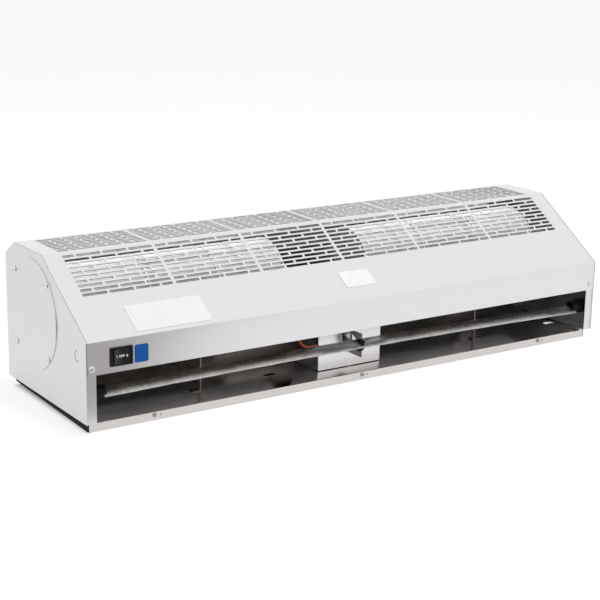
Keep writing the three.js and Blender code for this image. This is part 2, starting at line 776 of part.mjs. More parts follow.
function rotor() {
  const sides = discSides;
  const end = (from, to, hubFrom, hubTo) => join(
    turned([[from, shaftBore], [from, rotorRadius], [to, rotorRadius], [to, shaftBore], [from, shaftBore]],
      axis, sides),
    turned([[hubFrom, shaftBore], [hubFrom, hubRadius], [hubTo, hubRadius], [hubTo, shaftBore],
      [hubFrom, shaftBore]], axis, sides));
  const innerRadius = rotorRadius - rotorRingWidth;
  const pitch = (rotorEnd - rotorEndDistance - rotorDisc) / rotorSegments;
  const rings = Array.from({ length: rotorSegments - 1 }, (_, i) => {
    const from = rotorEndDistance + (i + 1) * pitch;
    const to = from + rotorDisc;
    return turned(
      [[from, innerRadius], [from, rotorRadius], [to, rotorRadius], [to, innerRadius],
        [from, innerRadius]], axis, sides);
  });
  const start = rotorEndDistance;
  return join(
    rotorBlades(),
    end(start, start + rotorDisc, start - hubLength, start + rotorDisc),
    end(rotorEnd - rotorDisc, rotorEnd, rotorEnd - rotorDisc, rotorEnd + hubLength),
    ...rings);
}

const bearingFar = bearingDistance + bearingWidth;
const bearing = () => turned([
  [bearingDistance, shaftBore], [bearingDistance, bearingRadius], [bearingFar, bearingRadius],
  [bearingFar, shaftBore], [bearingDistance, shaftBore],
], axis, turnedSides);

// A turned cup on a flange: it carries the bearing on the inside of the access cover.
function bearingHolder() {
  const seat = bearingRadius + gap;
  const outer = seat + holderWall;
  const shoulder = bearingDistance - gap;
  return turned([
    [0, holderLipRadius], [0, holderFlangeRadius], [sheet, holderFlangeRadius], [sheet, outer],
    [bearingFar, outer], [bearingFar, seat], [shoulder, seat], [shoulder, holderLipRadius],
    [0, holderLipRadius],
  ], axis, turnedSides);
}

addPair('rotor', rotor(), aluminium());
addPair(
  'end_shaft',
  bar(bearingDistance - endShaftSpare, rotorEndDistance + rotorDisc, shaftRadius, axis),
  brightSteel());
addPair('bearing', bearing(), brightSteel());
addPair('bearing_holder', bearingHolder(), aluminium());

// ---------------------------------------------------------------- motors
const motorShaftEnd = motorFace + motorShaftInsertion;

function motor() {
  return turned([
    [motorShaftEnd + gap, 0], [motorShaftEnd + gap, shaftBore], [motorNose, shaftBore],
    [motorNose, motorBossRadius], [motorFace, motorBossRadius], [motorFace, motorRadius - motorChamfer],
    [motorFace + motorChamfer, motorRadius], [motorInner - motorChamfer, motorRadius],
    [motorInner, motorRadius - motorChamfer], [motorInner, 0],
  ], axis, discSides);
}

addPair('motor', motor(), galvanised());
addPair(
  'motor_shaft', bar(rotorEnd - rotorDisc, motorShaftEnd, shaftRadius, axis), brightSteel());

// ---------------------------------------------------------------- rocker switch
function switchBody() {
  const bezelBack = -gap;
  const bezelFront = bezelBack - bezelThickness;
  const centred = (width, height, from, to) => block(
    [switchX - width / 2, from, switchZ - height / 2],
    [switchX + width / 2, to, switchZ + height / 2]);
  const bezel = centred(bezelWidth, bezelHeight, bezelFront, bezelBack);
  const body = centred(switchBodyWidth, switchBodyHeight, bezelFront, switchBodyDepth);
  const [thin, long, wide] = terminalSize;
  const terminals = [-1, 0, 1].map((side) => block(
    [switchX + side * terminalSpacing - thin / 2, switchBodyDepth - 1, switchZ - wide / 2],
    [switchX + side * terminalSpacing + thin / 2, switchBodyDepth + long, switchZ + wide / 2]));
  const cavity = centred(
    2 * (rockerRadius + gap), rockerHeight + 2 * gap, bezelFront - 1, cavityDepth);
  const pinHoles = alongZ(
    circle([switchX, rockerPivotY], rockerPinRadius + gap, 12),
    switchZ - rockerHeight / 2 - rockerPinLength - gap,
    switchZ + rockerHeight / 2 + rockerPinLength + gap);
  return cut(join(bezel, body, ...terminals), cavity, pinHoles);
}

// The rocker's section: round ends about the pivot and a face that dips to the middle.
function rocker() {
  const spread = Math.asin(rockerHalfDepth / rockerRadius);
  const end = (side, turns) => turns.map((turn) => [
    switchX + side * rockerRadius * Math.cos(turn), rockerPivotY + rockerRadius * Math.sin(turn)]);
  const turns = [-1, -0.5, 0, 0.5, 1].map((share) => share * spread);
  const face = [switchX, rockerPivotY - rockerHalfDepth + rockerDish];
  const section = [...end(1, turns), ...end(-1, [...turns].reverse()), face];
  const half = rockerHeight / 2;
  const lever = alongZ(section, switchZ - half, switchZ + half);
  const pin = alongZ(
    circle([switchX, rockerPivotY], rockerPinRadius, 12),
    switchZ - half - rockerPinLength, switchZ + half + rockerPinLength);
  return join(lever, pin);
}

add('switch_body', switchBody(), blackPlastic());
add('switch_rocker', rocker(), blackPlastic());

// ---------------------------------------------------------------- wiring
const wiringFloor = ceilingZ + sheet;
const blockBottom = wiringFloor + gap;
const capacitorRight = partitionLeft - gap;
const capacitorLeft = capacitorRight - capacitorSize[0];
const capacitorTop = standOff + capacitorBottom + capacitorSize[2];
const capacitorBack = capacitorY + capacitorSize[1];

add(
  'terminal_block',
  block(
    [terminalBlockDistance, terminalBlockY, blockBottom],
    [terminalBlockDistance + terminalBlockSize[0], terminalBlockY + terminalBlockSize[1],
      blockBottom + terminalBlockSize[2]]),
  blackPlastic());
add(
  'capacitor',
  block(
    [capacitorLeft, capacitorY, standOff + capacitorBottom],
    [capacitorRight, capacitorBack, capacitorTop]),
  blackPlastic());

// From the terminal block behind the fascia, down through the ceiling and into the centre panel.
function feedLead() {
  const rest = wiringFloor + 2 * gap + leadRadius;
  const wallX = panelLeft;
  const start = terminalBlockDistance + terminalBlockSize[0] + gap;
  return lead([
    [start, terminalBlockY + 10, rest + 4],
    [start + 12, terminalBlockY + 10, rest + 2],
    [start + 40, terminalBlockY + 6, rest],
    [start + 95, terminalBlockY + 4, rest],
    [ceilingHole.x - 60, terminalBlockY + 14, rest],
    [ceilingHole.x - 24, ceilingHole.y - 4, rest + 1],
    [ceilingHole.x - 6, ceilingHole.y, rest + 2],
    [ceilingHole.x, ceilingHole.y, ceilingZ - 4],
    [ceilingHole.x + 5, ceilingHole.y + 1, ceilingZ - 14],
    [wallX - 26, leadHole.wallY, leadHole.wallZ + 4],
    [wallX - 15, leadHole.wallY + 1, leadHole.wallZ - 1.5],
    [wallX, leadHole.wallY, leadHole.wallZ],
    [wallX + 10, leadHole.wallY + 4, leadHole.wallZ + 2],
    [capacitorLeft - 9, capacitorY + 6, leadHole.wallZ - 5],
    [capacitorLeft - 2 * gap, capacitorY + 6, leadHole.wallZ - 5],
  ], leadRadius);
}

// From the capacitor's upper face to the left motor's flank.
function leftMotorLead() {
  const [x, radius] = [motorFace + motorLength / 2, motorRadius];
  return lead([
    [capacitorLeft + 6, capacitorBack - 12, capacitorTop + 2 * gap],
    [capacitorLeft + 6, capacitorBack - 12, capacitorTop + 10],
    [x - 6, capacitorBack + 4, capacitorTop + 24],
    [x - 2, rotorY - radius - 12, rotorZ - 8],
    [x, rotorY - radius - gap, rotorZ - 4],
  ], motorLeadRadius);
}

// From the capacitor's upper face, through the partition, to the right motor's flank.
function rightMotorLead() {
  const x = length - motorFace - motorLength / 2;
  const way = [partitionHoleY, standOff + partitionHoleHeight];
  return lead([
    [capacitorRight - 6, capacitorBack - 12, capacitorTop + 2 * gap],
    [capacitorRight - 6, capacitorBack - 12, capacitorTop + 8],
    [partitionLeft - 6, way[0] - 2, way[1] - 3],
    [middle, way[0], way[1]],
    [partitionLeft + partitionThickness + 7, way[0] - 1, way[1] + 4],
    [x - 4, rotorY - motorRadius - 10, rotorZ - 9],
    [x, rotorY - motorRadius - gap, rotorZ - 4],
  ], motorLeadRadius);
}

add('feed_lead', feedLead(), material(0xd2502a, 0.5, 0));
add('motor_lead_left', leftMotorLead(), material(0xb02a22, 0.5, 0));
add('motor_lead_right', rightMotorLead(), material(0xb02a22, 0.5, 0));

// ---------------------------------------------------------------- blank labels
function slopeLabel({ x, reach, width, height }) {
  return block([x, reach, gap], [x + width, reach + height, gap + labelThickness])
    .rotateX(slopeAngle).translate(0, 0, fasciaTop);
}

add('label_large', slopeLabel(largeLabel), material(0xf4f4f6, 0.5, 0));
add('label_small', slopeLabel({ ...smallLabel, x: middle + smallLabel.fromMiddle }), material(0xf4f4f6, 0.5, 0));
add(
  'label_square',
  block(
    [squareLabel.x, -gap - labelThickness, standOff + squareLabel.height],
    [squareLabel.x + squareLabel.width, -gap, standOff + squareLabel.height + squareLabel.rise]),
  material(0x1c4f8f, 0.45, 0));

// ---------------------------------------------------------------- origin
// The middle of the box that holds every piece, on the plane of the wall.
const frontReach = rockerHalfDepth - rockerPivotY;
model.position.set(-middle, -(depth - frontReach) / 2, 0);

export default model;
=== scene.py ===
# %% [markdown]
# # An air curtain in folded stainless sheet
# The unit blows a sheet of air across a doorway. Two cross-flow rotors draw air in through slots in
# the slope and the top, and blow it out of a long outlet, past a vane that turns it. The unit lies on
# its mounting pan here. Each step below says what a piece is, how it could be made, and why it is
# made this way.

import bmesh
import bpy
import numpy as np
from mathutils import Matrix, Vector
from mathutils.geometry import delaunay_2d_cdt


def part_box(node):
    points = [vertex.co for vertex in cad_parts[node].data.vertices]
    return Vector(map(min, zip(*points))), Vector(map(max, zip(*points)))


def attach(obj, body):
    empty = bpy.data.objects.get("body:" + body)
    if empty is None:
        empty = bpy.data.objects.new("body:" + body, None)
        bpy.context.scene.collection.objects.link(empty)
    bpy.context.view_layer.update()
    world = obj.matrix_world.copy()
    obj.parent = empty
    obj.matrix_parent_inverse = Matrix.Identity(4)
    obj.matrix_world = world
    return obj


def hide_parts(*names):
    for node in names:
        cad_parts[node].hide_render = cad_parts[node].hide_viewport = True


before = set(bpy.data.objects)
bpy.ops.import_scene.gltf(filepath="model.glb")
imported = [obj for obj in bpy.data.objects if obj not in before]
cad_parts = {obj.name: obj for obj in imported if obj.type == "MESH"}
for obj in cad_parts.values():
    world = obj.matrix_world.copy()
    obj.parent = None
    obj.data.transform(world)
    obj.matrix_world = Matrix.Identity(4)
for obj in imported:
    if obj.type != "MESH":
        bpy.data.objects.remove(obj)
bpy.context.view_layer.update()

# %% [markdown]
# ## Places and units
# A sheet-metal drawing is read in millimetres from its own corner. So every piece is worked out in
# millimetres: x from the left end plate's face, y from the fascia's front plane to the back, z up
# from the wall. One function then brings it into the frame, in metres.

# %% Units and the corner that sizes are measured from
MM = 0.001
CORNER = np.array([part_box("end_plate_left")[0].x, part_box("casing")[0].y, 0.0])


def in_frame(points):
    """Millimetres from the unit's corner, as metres in the frame: corner + 0.001 * point."""
    return CORNER + np.asarray(points, float) * MM


def box_mm(node):
    """Lowest and highest corner of a solid, in the unit's millimetres."""
    low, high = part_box(node)
    return (np.array(low) - CORNER) / MM, (np.array(high) - CORNER) / MM


LENGTH = box_mm("end_plate_right")[1][0]
MIDDLE = LENGTH / 2
DEPTH = box_mm("casing")[1][1]
SHEET = 1.2
GAP = 0.3
SCREW_HOLE = 2.3
CASING_TOP = box_mm("casing")[1][2]
CASING_FOOT = box_mm("end_plate_left")[0][2]
FASCIA_BOTTOM = 82.15
FASCIA_TOP = 128.3
SLOPE_RUN = 136.2
CHAMFER_RUN = 30.7
CHAMFER_DROP = 20.8
OUTLINE = np.array([
    [0, CASING_FOOT], [0, FASCIA_TOP], [SLOPE_RUN, CASING_TOP],
    [DEPTH - CHAMFER_RUN, CASING_TOP], [DEPTH, CASING_TOP - CHAMFER_DROP], [DEPTH, CASING_FOOT]])
print("unit:", round(LENGTH, 1), "x", round(DEPTH, 1), "x", round(CASING_TOP, 1), "mm")

# %% [markdown]
# ## From arrays to a piece
# Blender can sweep curves or stack modifiers, but a formula says more about a made shape. So each
# surface is an array of points on a grid, and one helper numbers the grid's faces. Another puts
# points and faces into a mesh, welds what coincides, turns every face outwards and keeps the edges
# crisp where the metal is folded or cut.

# %% Grids and meshes
CRISP = np.radians(28)
WELD = 0.00001


def grid_faces(rows, columns, ring_rows=False, ring_columns=False, first=0):
    """Quads between the neighbours of a grid of rows x columns points, closed where it is a ring."""
    i = np.arange(rows if ring_rows else rows - 1)[:, None]
    j = np.arange(columns if ring_columns else columns - 1)[None, :]
    below, beside = (i + 1) % rows, (j + 1) % columns
    corners = [i * columns + j, below * columns + j, below * columns + beside, i * columns + beside]
    return (first + np.stack(corners, -1)).reshape(-1, 4).tolist()


def piece(name, shape, finish, slot, body="unit", stands_for=()):
    """A piece of the unit: its points in the unit's millimetres, its faces as lists of numbers."""
    points, faces = shape
    mesh = bpy.data.meshes.new(name)
    mesh.from_pydata(in_frame(points).tolist(), [], faces)
    work = bmesh.new()
    work.from_mesh(mesh)
    bmesh.ops.remove_doubles(work, verts=work.verts, dist=WELD)
    bmesh.ops.dissolve_degenerate(work, edges=work.edges, dist=WELD)
    bmesh.ops.recalc_face_normals(work, faces=work.faces)
    work.to_mesh(mesh)
    work.free()
    mesh.shade_smooth()
    mesh.set_sharp_from_angle(angle=CRISP)
    mesh.materials.append(finish)
    made = bpy.data.objects.new(name, mesh)
    bpy.context.scene.collection.objects.link(made)
    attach(made, body)
    if stands_for:
        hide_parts(*stands_for)
    print(f"{name}: {len(mesh.polygons)} faces, on {body}")
    return made


def gathered(*shapes):
    """Several (points, faces) as one: the later faces' numbers move up past the earlier points."""
    points, faces, count = [], [], 0
    for some_points, some_faces in shapes:
        points.append(np.asarray(some_points, float).reshape(-1, 3))
        faces += [[count + corner for corner in face] for face in some_faces]
        count += len(points[-1])
    return np.concatenate(points), faces


def mirrored(shape):
    """The right-hand copy of a left-hand shape: x becomes the unit's length minus x."""
    points, faces = shape
    return np.asarray(points) * [-1, 1, 1] + [LENGTH, 0, 0], faces


def skin(node, shape, finish, slot, body="unit"):
    """A piece that is seen in a solid's place, and is named after it."""
    return piece(f"{node}_skin", shape, finish, slot, body, (node,))


def skin_pair(name, shape, finish, slot, bodies=("unit", "unit")):
    """Skins for a left-hand solid and, mirrored, for its right-hand twin."""
    skin(f"{name}_left", shape, finish, slot, bodies[0])
    skin(f"{name}_right", mirrored(shape), finish, slot, bodies[1])


# %% [markdown]
# ## Shader formulas
# A finish is a formula over the surface: grain, spangle, smudges. Written as nodes it's hard to
# read, so a small class lets a socket take part in Python arithmetic, and each operator adds the
# Math node that it stands for. One method makes any other node.

# %% A socket that does arithmetic


class Socket:
    """One output of a node. Arithmetic on it adds Math nodes to the same tree."""

    def __init__(self, tree, output):
        self.tree = tree
        self.output = output

    def math(self, operation, first, second):
        node = self.tree.nodes.new("ShaderNodeMath")
        node.operation = operation
        for place, item in zip(node.inputs, (first, second)):
            if isinstance(item, Socket):
                self.tree.links.new(item.output, place)
            else:
                place.default_value = item
        return Socket(self.tree, node.outputs[0])

    def __add__(self, other):
        return self.math("ADD", self, other)

    def __radd__(self, other):
        return self.math("ADD", other, self)

    def __sub__(self, other):
        return self.math("SUBTRACT", self, other)

    def __rsub__(self, other):
        return self.math("SUBTRACT", other, self)

    def __mul__(self, other):
        return self.math("MULTIPLY", self, other)

    def __rmul__(self, other):
        return self.math("MULTIPLY", other, self)

# %% A tree of nodes


def named(sockets, name):
    """The socket in use with a name, or an identifier such as Vector_001 for a second Vector."""
    wanted = name.replace("_", " ").lower()
    in_use = (socket for socket in sockets if socket.enabled)
    return next(
        socket for socket in in_use
        if wanted in (socket.name.lower(), socket.identifier.replace("_", " ").lower()))


class Nodes:
    """A tree of nodes, with one method that makes any node in it."""

    def __init__(self, tree):
        self.tree = tree

    def plug(self, place, value):
        """A link from a socket to an input, or else a constant on it."""
        if isinstance(value, Socket):
            self.tree.links.new(value.output, place)
        else:
            place.default_value = value

    def node(self, kind, output, settings=(), **values):
        """A node of a kind: the output that is wanted, its settings, and what its inputs take."""
        node = self.tree.nodes.new("ShaderNode" + kind)
        for setting, value in dict(settings).items():
            setattr(node, setting, value)
        for name, value in values.items():
            self.plug(named(node.inputs, name), value)
        return Socket(self.tree, named(node.outputs, output))

    def noise(self, stretch, detail=3.0):
        """Soft noise from 0 to 1 on the object's own coordinates, stretch features per metre."""
        place = self.node("TexCoord", "Object")
        spread = self.node("Mapping", "Vector", Vector=place, Scale=stretch)
        return self.node("TexNoise", "Fac", Vector=spread, Scale=1.0, Detail=detail, Roughness=0.55)

    def mix(self, factor, first, second):
        """A colour between two colours."""
        return self.node(
            "Mix", "Result", {"data_type": "RGBA"}, Factor=factor, A=(*first, 1), B=(*second, 1))

    def between(self, value, low, high):
        """0 at low and 1 at high, with a smooth step between them and no further change."""
        return self.node(
            "MapRange", "Result", {"interpolation_type": "SMOOTHSTEP"}, Value=value,
            From_Min=low, From_Max=high)

# %% A finish


class Finish(Nodes):
    """A material built round one Principled BSDF."""

    def __init__(self, name, **constants):
        self.material = bpy.data.materials.new(name)
        self.material.use_nodes = True
        super().__init__(self.material.node_tree)
        self.shader = self.tree.nodes["Principled BSDF"]
        for socket, value in constants.items():
            self.set(socket, value)

    def set(self, socket, value):
        """A constant or a link on one of the shader's own sockets."""
        self.plug(named(self.shader.inputs, socket), value)

    def bump(self, height, distance):
        """The surface's normal, tilted as by a height of so many metres."""
        self.set("Normal", self.node("Bump", "Normal", Height=height, Distance=distance))


# %% [markdown]
# ## Stainless sheet
# The casing is stainless steel with a long grain from polishing belts, which run along the sheet.
# The grain is noise drawn out along one axis: more than a hundred lines across for one along. It
# feeds the roughness and a bump of two microns, and a slow noise adds the clouds that handling
# leaves.

# %% Brushed stainless


def brushed_stainless(name, color, grain, roughness=0.3, streaks=0.08):
    """Stainless with its grain along x, y or z: the noise is long along that axis, fine across."""
    steel = Finish(name, metallic=1.0)
    fine = [9 if axis == grain else 1300 for axis in "xyz"]
    broad = [2 if axis == grain else 60 for axis in "xyz"]
    lines = steel.noise(fine, detail=4.0)
    bands = steel.noise(broad, detail=2.0)
    clouds = steel.noise([14, 14, 14])
    grooves = lines - 0.5 + 0.4 * (bands - 0.5)
    steel.set("Roughness", roughness + streaks * grooves + 0.05 * (clouds - 0.5))
    tone = steel.between(0.6 * bands + 0.4 * lines, 0.35, 0.65)
    steel.set("Base Color", steel.mix(tone, [0.985 * c for c in color], color))
    steel.bump(lines, 0.000002)
    return steel.material


CASING_STEEL = brushed_stainless("brushed_stainless_long_grain", (0.80, 0.795, 0.81), "x")
END_STEEL = brushed_stainless("brushed_stainless_upright_grain", (0.75, 0.75, 0.77), "z", 0.34)
PAN_STEEL = brushed_stainless("brushed_stainless_pan", (0.67, 0.635, 0.615), "x", 0.15, 0.04)
PANEL_STEEL = brushed_stainless("brushed_stainless_panel", (0.80, 0.795, 0.80), "z", 0.3, 0.04)
print("stainless finishes:", len(bpy.data.materials))

# %% [markdown]
# ## Galvanised sheet and plain metal
# Inside, the guides and the vane are galvanised. Zinc freezes in flat crystals a few millimetres
# wide, each with its own tone, which is a Voronoi pattern of cells. Noise bends the cells' edges so
# that they aren't straight. Other metals only get a light mottle. The rotors' aluminium is dull, so
# most of its colour is spread like a paint's, with little metal in it.

# %% Zinc, aluminium, plain steel
WANDER = 0.006


def galvanised(name, dark, light, cells=150, roughness=0.38):
    """Zinc spangle: the tone of each Voronoi cell, with cells per metre, over slow clouds."""
    zinc = Finish(name, metallic=1.0)
    place = zinc.node("TexCoord", "Object")
    wander = zinc.node("TexNoise", "Color", Vector=place, Scale=70.0, Detail=2.0)
    bent = zinc.node(
        "VectorMath", "Vector", {"operation": "MULTIPLY_ADD"},
        Vector=wander, Vector_001=[WANDER] * 3, Vector_002=place)
    crystal = zinc.node("TexVoronoi", "Color", Vector=bent, Scale=float(cells))
    tone = zinc.node("SeparateColor", "Red", Color=crystal)
    clouds = zinc.noise([9, 30, 30], detail=4.0)
    share = zinc.between(0.45 * tone + 0.6 * clouds, 0.25, 0.85)
    zinc.set("Base Color", zinc.mix(share, dark, light))
    zinc.set("Roughness", roughness + 0.06 * (tone - 0.5) + 0.06 * (clouds - 0.5))
    zinc.bump(clouds, 0.00001)
    return zinc.material


def plain_metal(name, color, roughness, mottle=0.05, metallic=1.0):
    """Plain metal with a light mottle in its gloss."""
    metal = Finish(name, metallic=metallic)
    spots = metal.noise([160, 160, 160])
    metal.set("Roughness", roughness + 2 * mottle * (spots - 0.5))
    metal.set("Base Color", metal.mix(spots, [0.94 * c for c in color], color))
    metal.bump(spots, 0.000004)
    return metal.material


VANE_ZINC = galvanised("galvanised_vane", (0.68, 0.68, 0.68), (0.86, 0.86, 0.855), 220, 0.32)
GUIDE_ZINC = galvanised("galvanised_guide", (0.52, 0.485, 0.46), (0.60, 0.565, 0.54), 110, 0.22)
FRAME_ZINC = galvanised("galvanised_frame", (0.50, 0.50, 0.49), (0.66, 0.66, 0.65), 120, 0.4)
# Painted shade: steel darkened to about a third of the foot's tone, for the parts that stand in the
# outlets' shade: the centre bracket's side plate and the outlet posts.
SHADED_BRACKET_STEEL = plain_metal("bracket_steel_painted_shade", (0.17, 0.155, 0.14), 0.2)
BRACKET_FOOT = plain_metal("bracket_foot_steel", (0.52, 0.51, 0.50), 0.25, 0.12)
PAN_SCREW = plain_metal("pan_screw_steel", (0.45, 0.43, 0.41), 0.3)
ROTOR_METAL = plain_metal("rotor_aluminium", (0.96, 0.96, 0.97), 0.34, metallic=0.2)
SCREW_METAL = plain_metal("screw_steel", (0.86, 0.86, 0.85), 0.2)
BEARING_METAL = plain_metal("bearing_steel", (0.62, 0.62, 0.63), 0.25)
print("metal finishes:", len(bpy.data.materials))

# %% [markdown]
# ## Plastics, paint and labels
# The switch and the bushes are black plastic with a fine spark-eroded texture, the motors wear
# black enamel, the leads are sheathed in PVC, and the labels are a plain film.

# %% Black plastic, enamel, PVC, film


def moulded(name, color, roughness, texture=0.00001, coat=0.0, shine=0.5):
    """Moulded plastic: a fine even texture, and a slow change in gloss."""
    plastic = Finish(name, coat_weight=coat, coat_roughness=0.08, specular_ior_level=shine)
    spark = plastic.noise([2400, 2400, 2400], detail=2.0)
    handling = plastic.noise([60, 60, 60])
    plastic.set("Roughness", roughness + 0.1 * (handling - 0.5) + 0.06 * (spark - 0.5))
    plastic.set("Base Color", plastic.mix(handling, [0.85 * c for c in color], color))
    plastic.bump(spark, texture)
    return plastic.material


NYLON = moulded("black_nylon", (0.003, 0.003, 0.003), 0.45, shine=0.15)
SWITCH_BLACK = moulded("switch_black", (0.003, 0.003, 0.004), 0.3, 0.000012, shine=0.35)
ROCKER_BLACK = moulded("rocker_black", (0.004, 0.004, 0.005), 0.24, 0.000008)
MARK_WHITE = moulded("mark_white", (0.80, 0.84, 0.86), 0.5, 0.000002)
ENAMEL = moulded("motor_enamel", (0.012, 0.012, 0.013), 0.36, 0.00002)
# Painted shade: a near-black strip for the shadow in the recess under each end plate.
END_SHADE_BLACK = moulded("seal_foam", (0.008, 0.008, 0.009), 0.9, 0.00006)
ORANGE_PVC = moulded("orange_pvc", (0.42, 0.07, 0.02), 0.42, 0.000004)
RED_PVC = moulded("red_pvc", (0.50, 0.03, 0.02), 0.42, 0.000004)
WHITE_FILM = moulded("label_film_white", (0.50, 0.50, 0.51), 0.3, 0.000003, 0.4)
BLUE_FILM = moulded("label_film_blue", (0.005, 0.075, 0.29), 0.5, 0.000003, shine=0.1)
print("all finishes:", len(bpy.data.materials))

# %% [markdown]
# ## A sheet that is cut flat, then folded
# Sheet metal is punched as a flat blank and then folded. The same can be done with numbers. The
# blank is a net of triangles that keeps the outline, the holes and the bend lines (a constrained
# Delaunay net). A second copy of it, one thickness away, and a wall round every rim make it solid.
# Last, a formula folds it: distance along the blank becomes distance along the folded line.

# %% Blanks


def rounded_box(low, high, radius, steps=2):
    """A rectangle's corners as quarter arcs: centre + radius * (cos, sin), four quarters in turn."""
    (x0, y0), (x1, y1) = low, high
    centres = np.array([[x1, y1], [x0, y1], [x0, y0], [x1, y0]], float)
    inward = np.array([[-1, -1], [1, -1], [1, 1], [-1, 1]]) * radius
    turn = np.radians(np.arange(4)[:, None] * 90 + np.linspace(0, 90, steps + 1)[None, :])
    arcs = np.stack([np.cos(turn), np.sin(turn)], -1) * radius
    return ((centres + inward)[:, None, :] + arcs).reshape(-1, 2)


def ring(centre, radius, count=48):
    """A circle: centre + radius * (cos, sin) at equal turns."""
    turn = np.linspace(0, 2 * np.pi, count, endpoint=False)
    return np.asarray(centre) + radius * np.stack([np.cos(turn), np.sin(turn)], -1)


def screw_hole(centre):
    """A clearance hole for a screw's shank."""
    return ring(centre, SCREW_HOLE, 16)


def anticlockwise(loop):
    """The loop with its area sum(x0 * y1 - x1 * y0) / 2 above zero: turned round if it's below."""
    loop = np.asarray(loop, float)
    following = np.roll(loop, -1, axis=0)
    area = np.sum(loop[:, 0] * following[:, 1] - following[:, 0] * loop[:, 1])
    return loop if area > 0 else loop[::-1]


def blank(outline, holes=(), bends=()):
    """Points and triangles of a flat blank. Bends are the distances v of lines right across it."""
    loops = [anticlockwise(loop) for loop in (outline, *holes)]
    ends = np.concatenate(loops)[:, 0]
    lines = np.array([[[ends.min(), v], [ends.max(), v]] for v in bends]).reshape(-1, 2)
    starts = np.cumsum([0] + [len(loop) for loop in loops])
    faces = [list(range(a, b)) for a, b in zip(starts[:-1], starts[1:])]
    edges = [(starts[-1] + 2 * k, starts[-1] + 2 * k + 1) for k in range(len(lines) // 2)]
    points = [Vector(p) for p in np.concatenate([*loops, lines])]
    flat, _, triangles, _, _, sources = delaunay_2d_cdt(points, edges, faces, 1, 1e-4)
    kept = [triangle for triangle, source in zip(triangles, sources) if source == [0]]
    return np.array([tuple(p) for p in flat]), np.array(kept)


def sheet(outline, holes, thickness, place, bends=()):
    """A blank made solid: place(u, v, w) puts distance u, v on it and depth w in it into space."""
    flat, triangles = blank(outline, holes, bends)
    count = len(flat)
    edges = triangles[:, [0, 1, 1, 2, 2, 0]].reshape(-1, 2)
    key, reverse = edges @ [count, 1], edges @ [1, count]
    rims = edges[~np.isin(key, reverse)]
    walls = np.stack([rims[:, 0], rims[:, 1], rims[:, 1] + count, rims[:, 0] + count], -1)
    sides = [place(flat[:, 0], flat[:, 1], np.full(count, depth)) for depth in (0.0, thickness)]
    faces = triangles.tolist() + (triangles[:, ::-1] + count).tolist() + walls.tolist()
    return np.concatenate(sides), faces


# %% A folded line


class FoldedLine:
    """Straight runs joined by arcs of one radius, measured by the distance v along them."""

    def __init__(self, corners, radius, steps=6):
        corners = np.asarray(corners, float)
        runs = np.diff(corners, axis=0)
        lengths = np.linalg.norm(runs, axis=1)
        heading = np.unwrap(np.arctan2(runs[:, 1], runs[:, 0]))
        turn = np.diff(heading)
        setback = np.concatenate([[0], radius * np.tan(np.abs(turn) / 2), [0]])
        along = runs / lengths[:, None]
        points, headings = [], []
        self.starts = []
        for i, direction in enumerate(along):
            first = corners[i] + direction * setback[i]
            last = corners[i + 1] - direction * setback[i + 1]
            self.starts.append((len(points), setback[i]))
            points += [first, last]
            headings += [heading[i]] * 2
            if i < len(turn):
                share = np.linspace(0, 1, steps + 1)[1:-1]
                side = np.sign(turn[i])
                centre = last + radius * side * np.array([-direction[1], direction[0]])
                angles = heading[i] + share * turn[i]
                points += list(centre + radius * side * np.stack([np.sin(angles), -np.cos(angles)], -1))
                headings += list(angles)
        self.points = np.array(points)
        self.headings = np.array(headings)
        self.v = np.concatenate([[0], np.cumsum(np.linalg.norm(np.diff(self.points, axis=0), axis=1))])

    def reach(self, run, distance):
        """The v of a point on one run, at a distance from the sharp corner that the run starts at."""
        knot, setback = self.starts[run]
        return self.v[knot] + distance - setback

    def at(self, v, w):
        """Places at distances v along the line and depths w to its right."""
        heading = np.interp(v, self.v, self.headings)
        spot = np.stack([np.interp(v, self.v, self.points[:, k]) for k in (0, 1)], -1)
        return spot + w[:, None] * np.stack([np.sin(heading), -np.cos(heading)], -1)


def folded_along_x(line):
    """Fold a blank over a line in the (y, z) plane: u runs along x."""
    def place(u, v, w):
        spot = line.at(v, w)
        return np.stack([u, spot[:, 0], spot[:, 1]], -1)
    return place


def folded_along_z(line):
    """Fold a blank over a line in the (x, y) plane: u runs up."""
    def place(u, v, w):
        spot = line.at(v, w)
        return np.stack([spot[:, 0], spot[:, 1], u], -1)
    return place


def upright(x):
    """A plate across the unit: u is y, v is z, and its depth goes along x from a place x."""
    return lambda u, v, w: np.stack([x + w, u, v], -1)


def folded_sheet(line, fold, start, end, holes):
    """A blank from start to end across a line, as long as the line, folded over it."""
    last = line.v[-1]
    outline = [[start, 0], [end, 0], [end, last], [start, last]]
    return sheet(outline, holes, SHEET, fold(line), line.v[1:-1])


# %% [markdown]
# ## The casing
# One sheet makes the fascia, the slope, the top, the chamfer and the back. Slots are punched in it
# like bricks, in six panels side by side: three long ones and a short one in each row, the short one
# first in every second row. The folds get a real bend radius, so they catch a line of light. The
# sheet ends a little short of the end plates, and the seam shows as a dark line.

# %% Casing
BEND, SEAM = 2.2, 0.75
SLOT_MARGIN, SLOT_PANEL_GAP, SLOT_WEB = 29.6, 5.2, 3.4
SLOT_HEIGHT, SLOT_PITCH, SLOT_CORNER = 4.9, 8.08, 0.7
SLOPE_ROWS, FIRST_ROW, TOP_MARGIN = 10, 8.5, 16
PANELS = 6
PANEL_WIDTH = (LENGTH - 2 * SLOT_MARGIN - (PANELS - 1) * SLOT_PANEL_GAP) / PANELS
LONG_SLOT = (PANEL_WIDTH - 2.5 * SLOT_WEB) / 3.5
SHORT_SLOT = (LONG_SLOT - SLOT_WEB) / 2


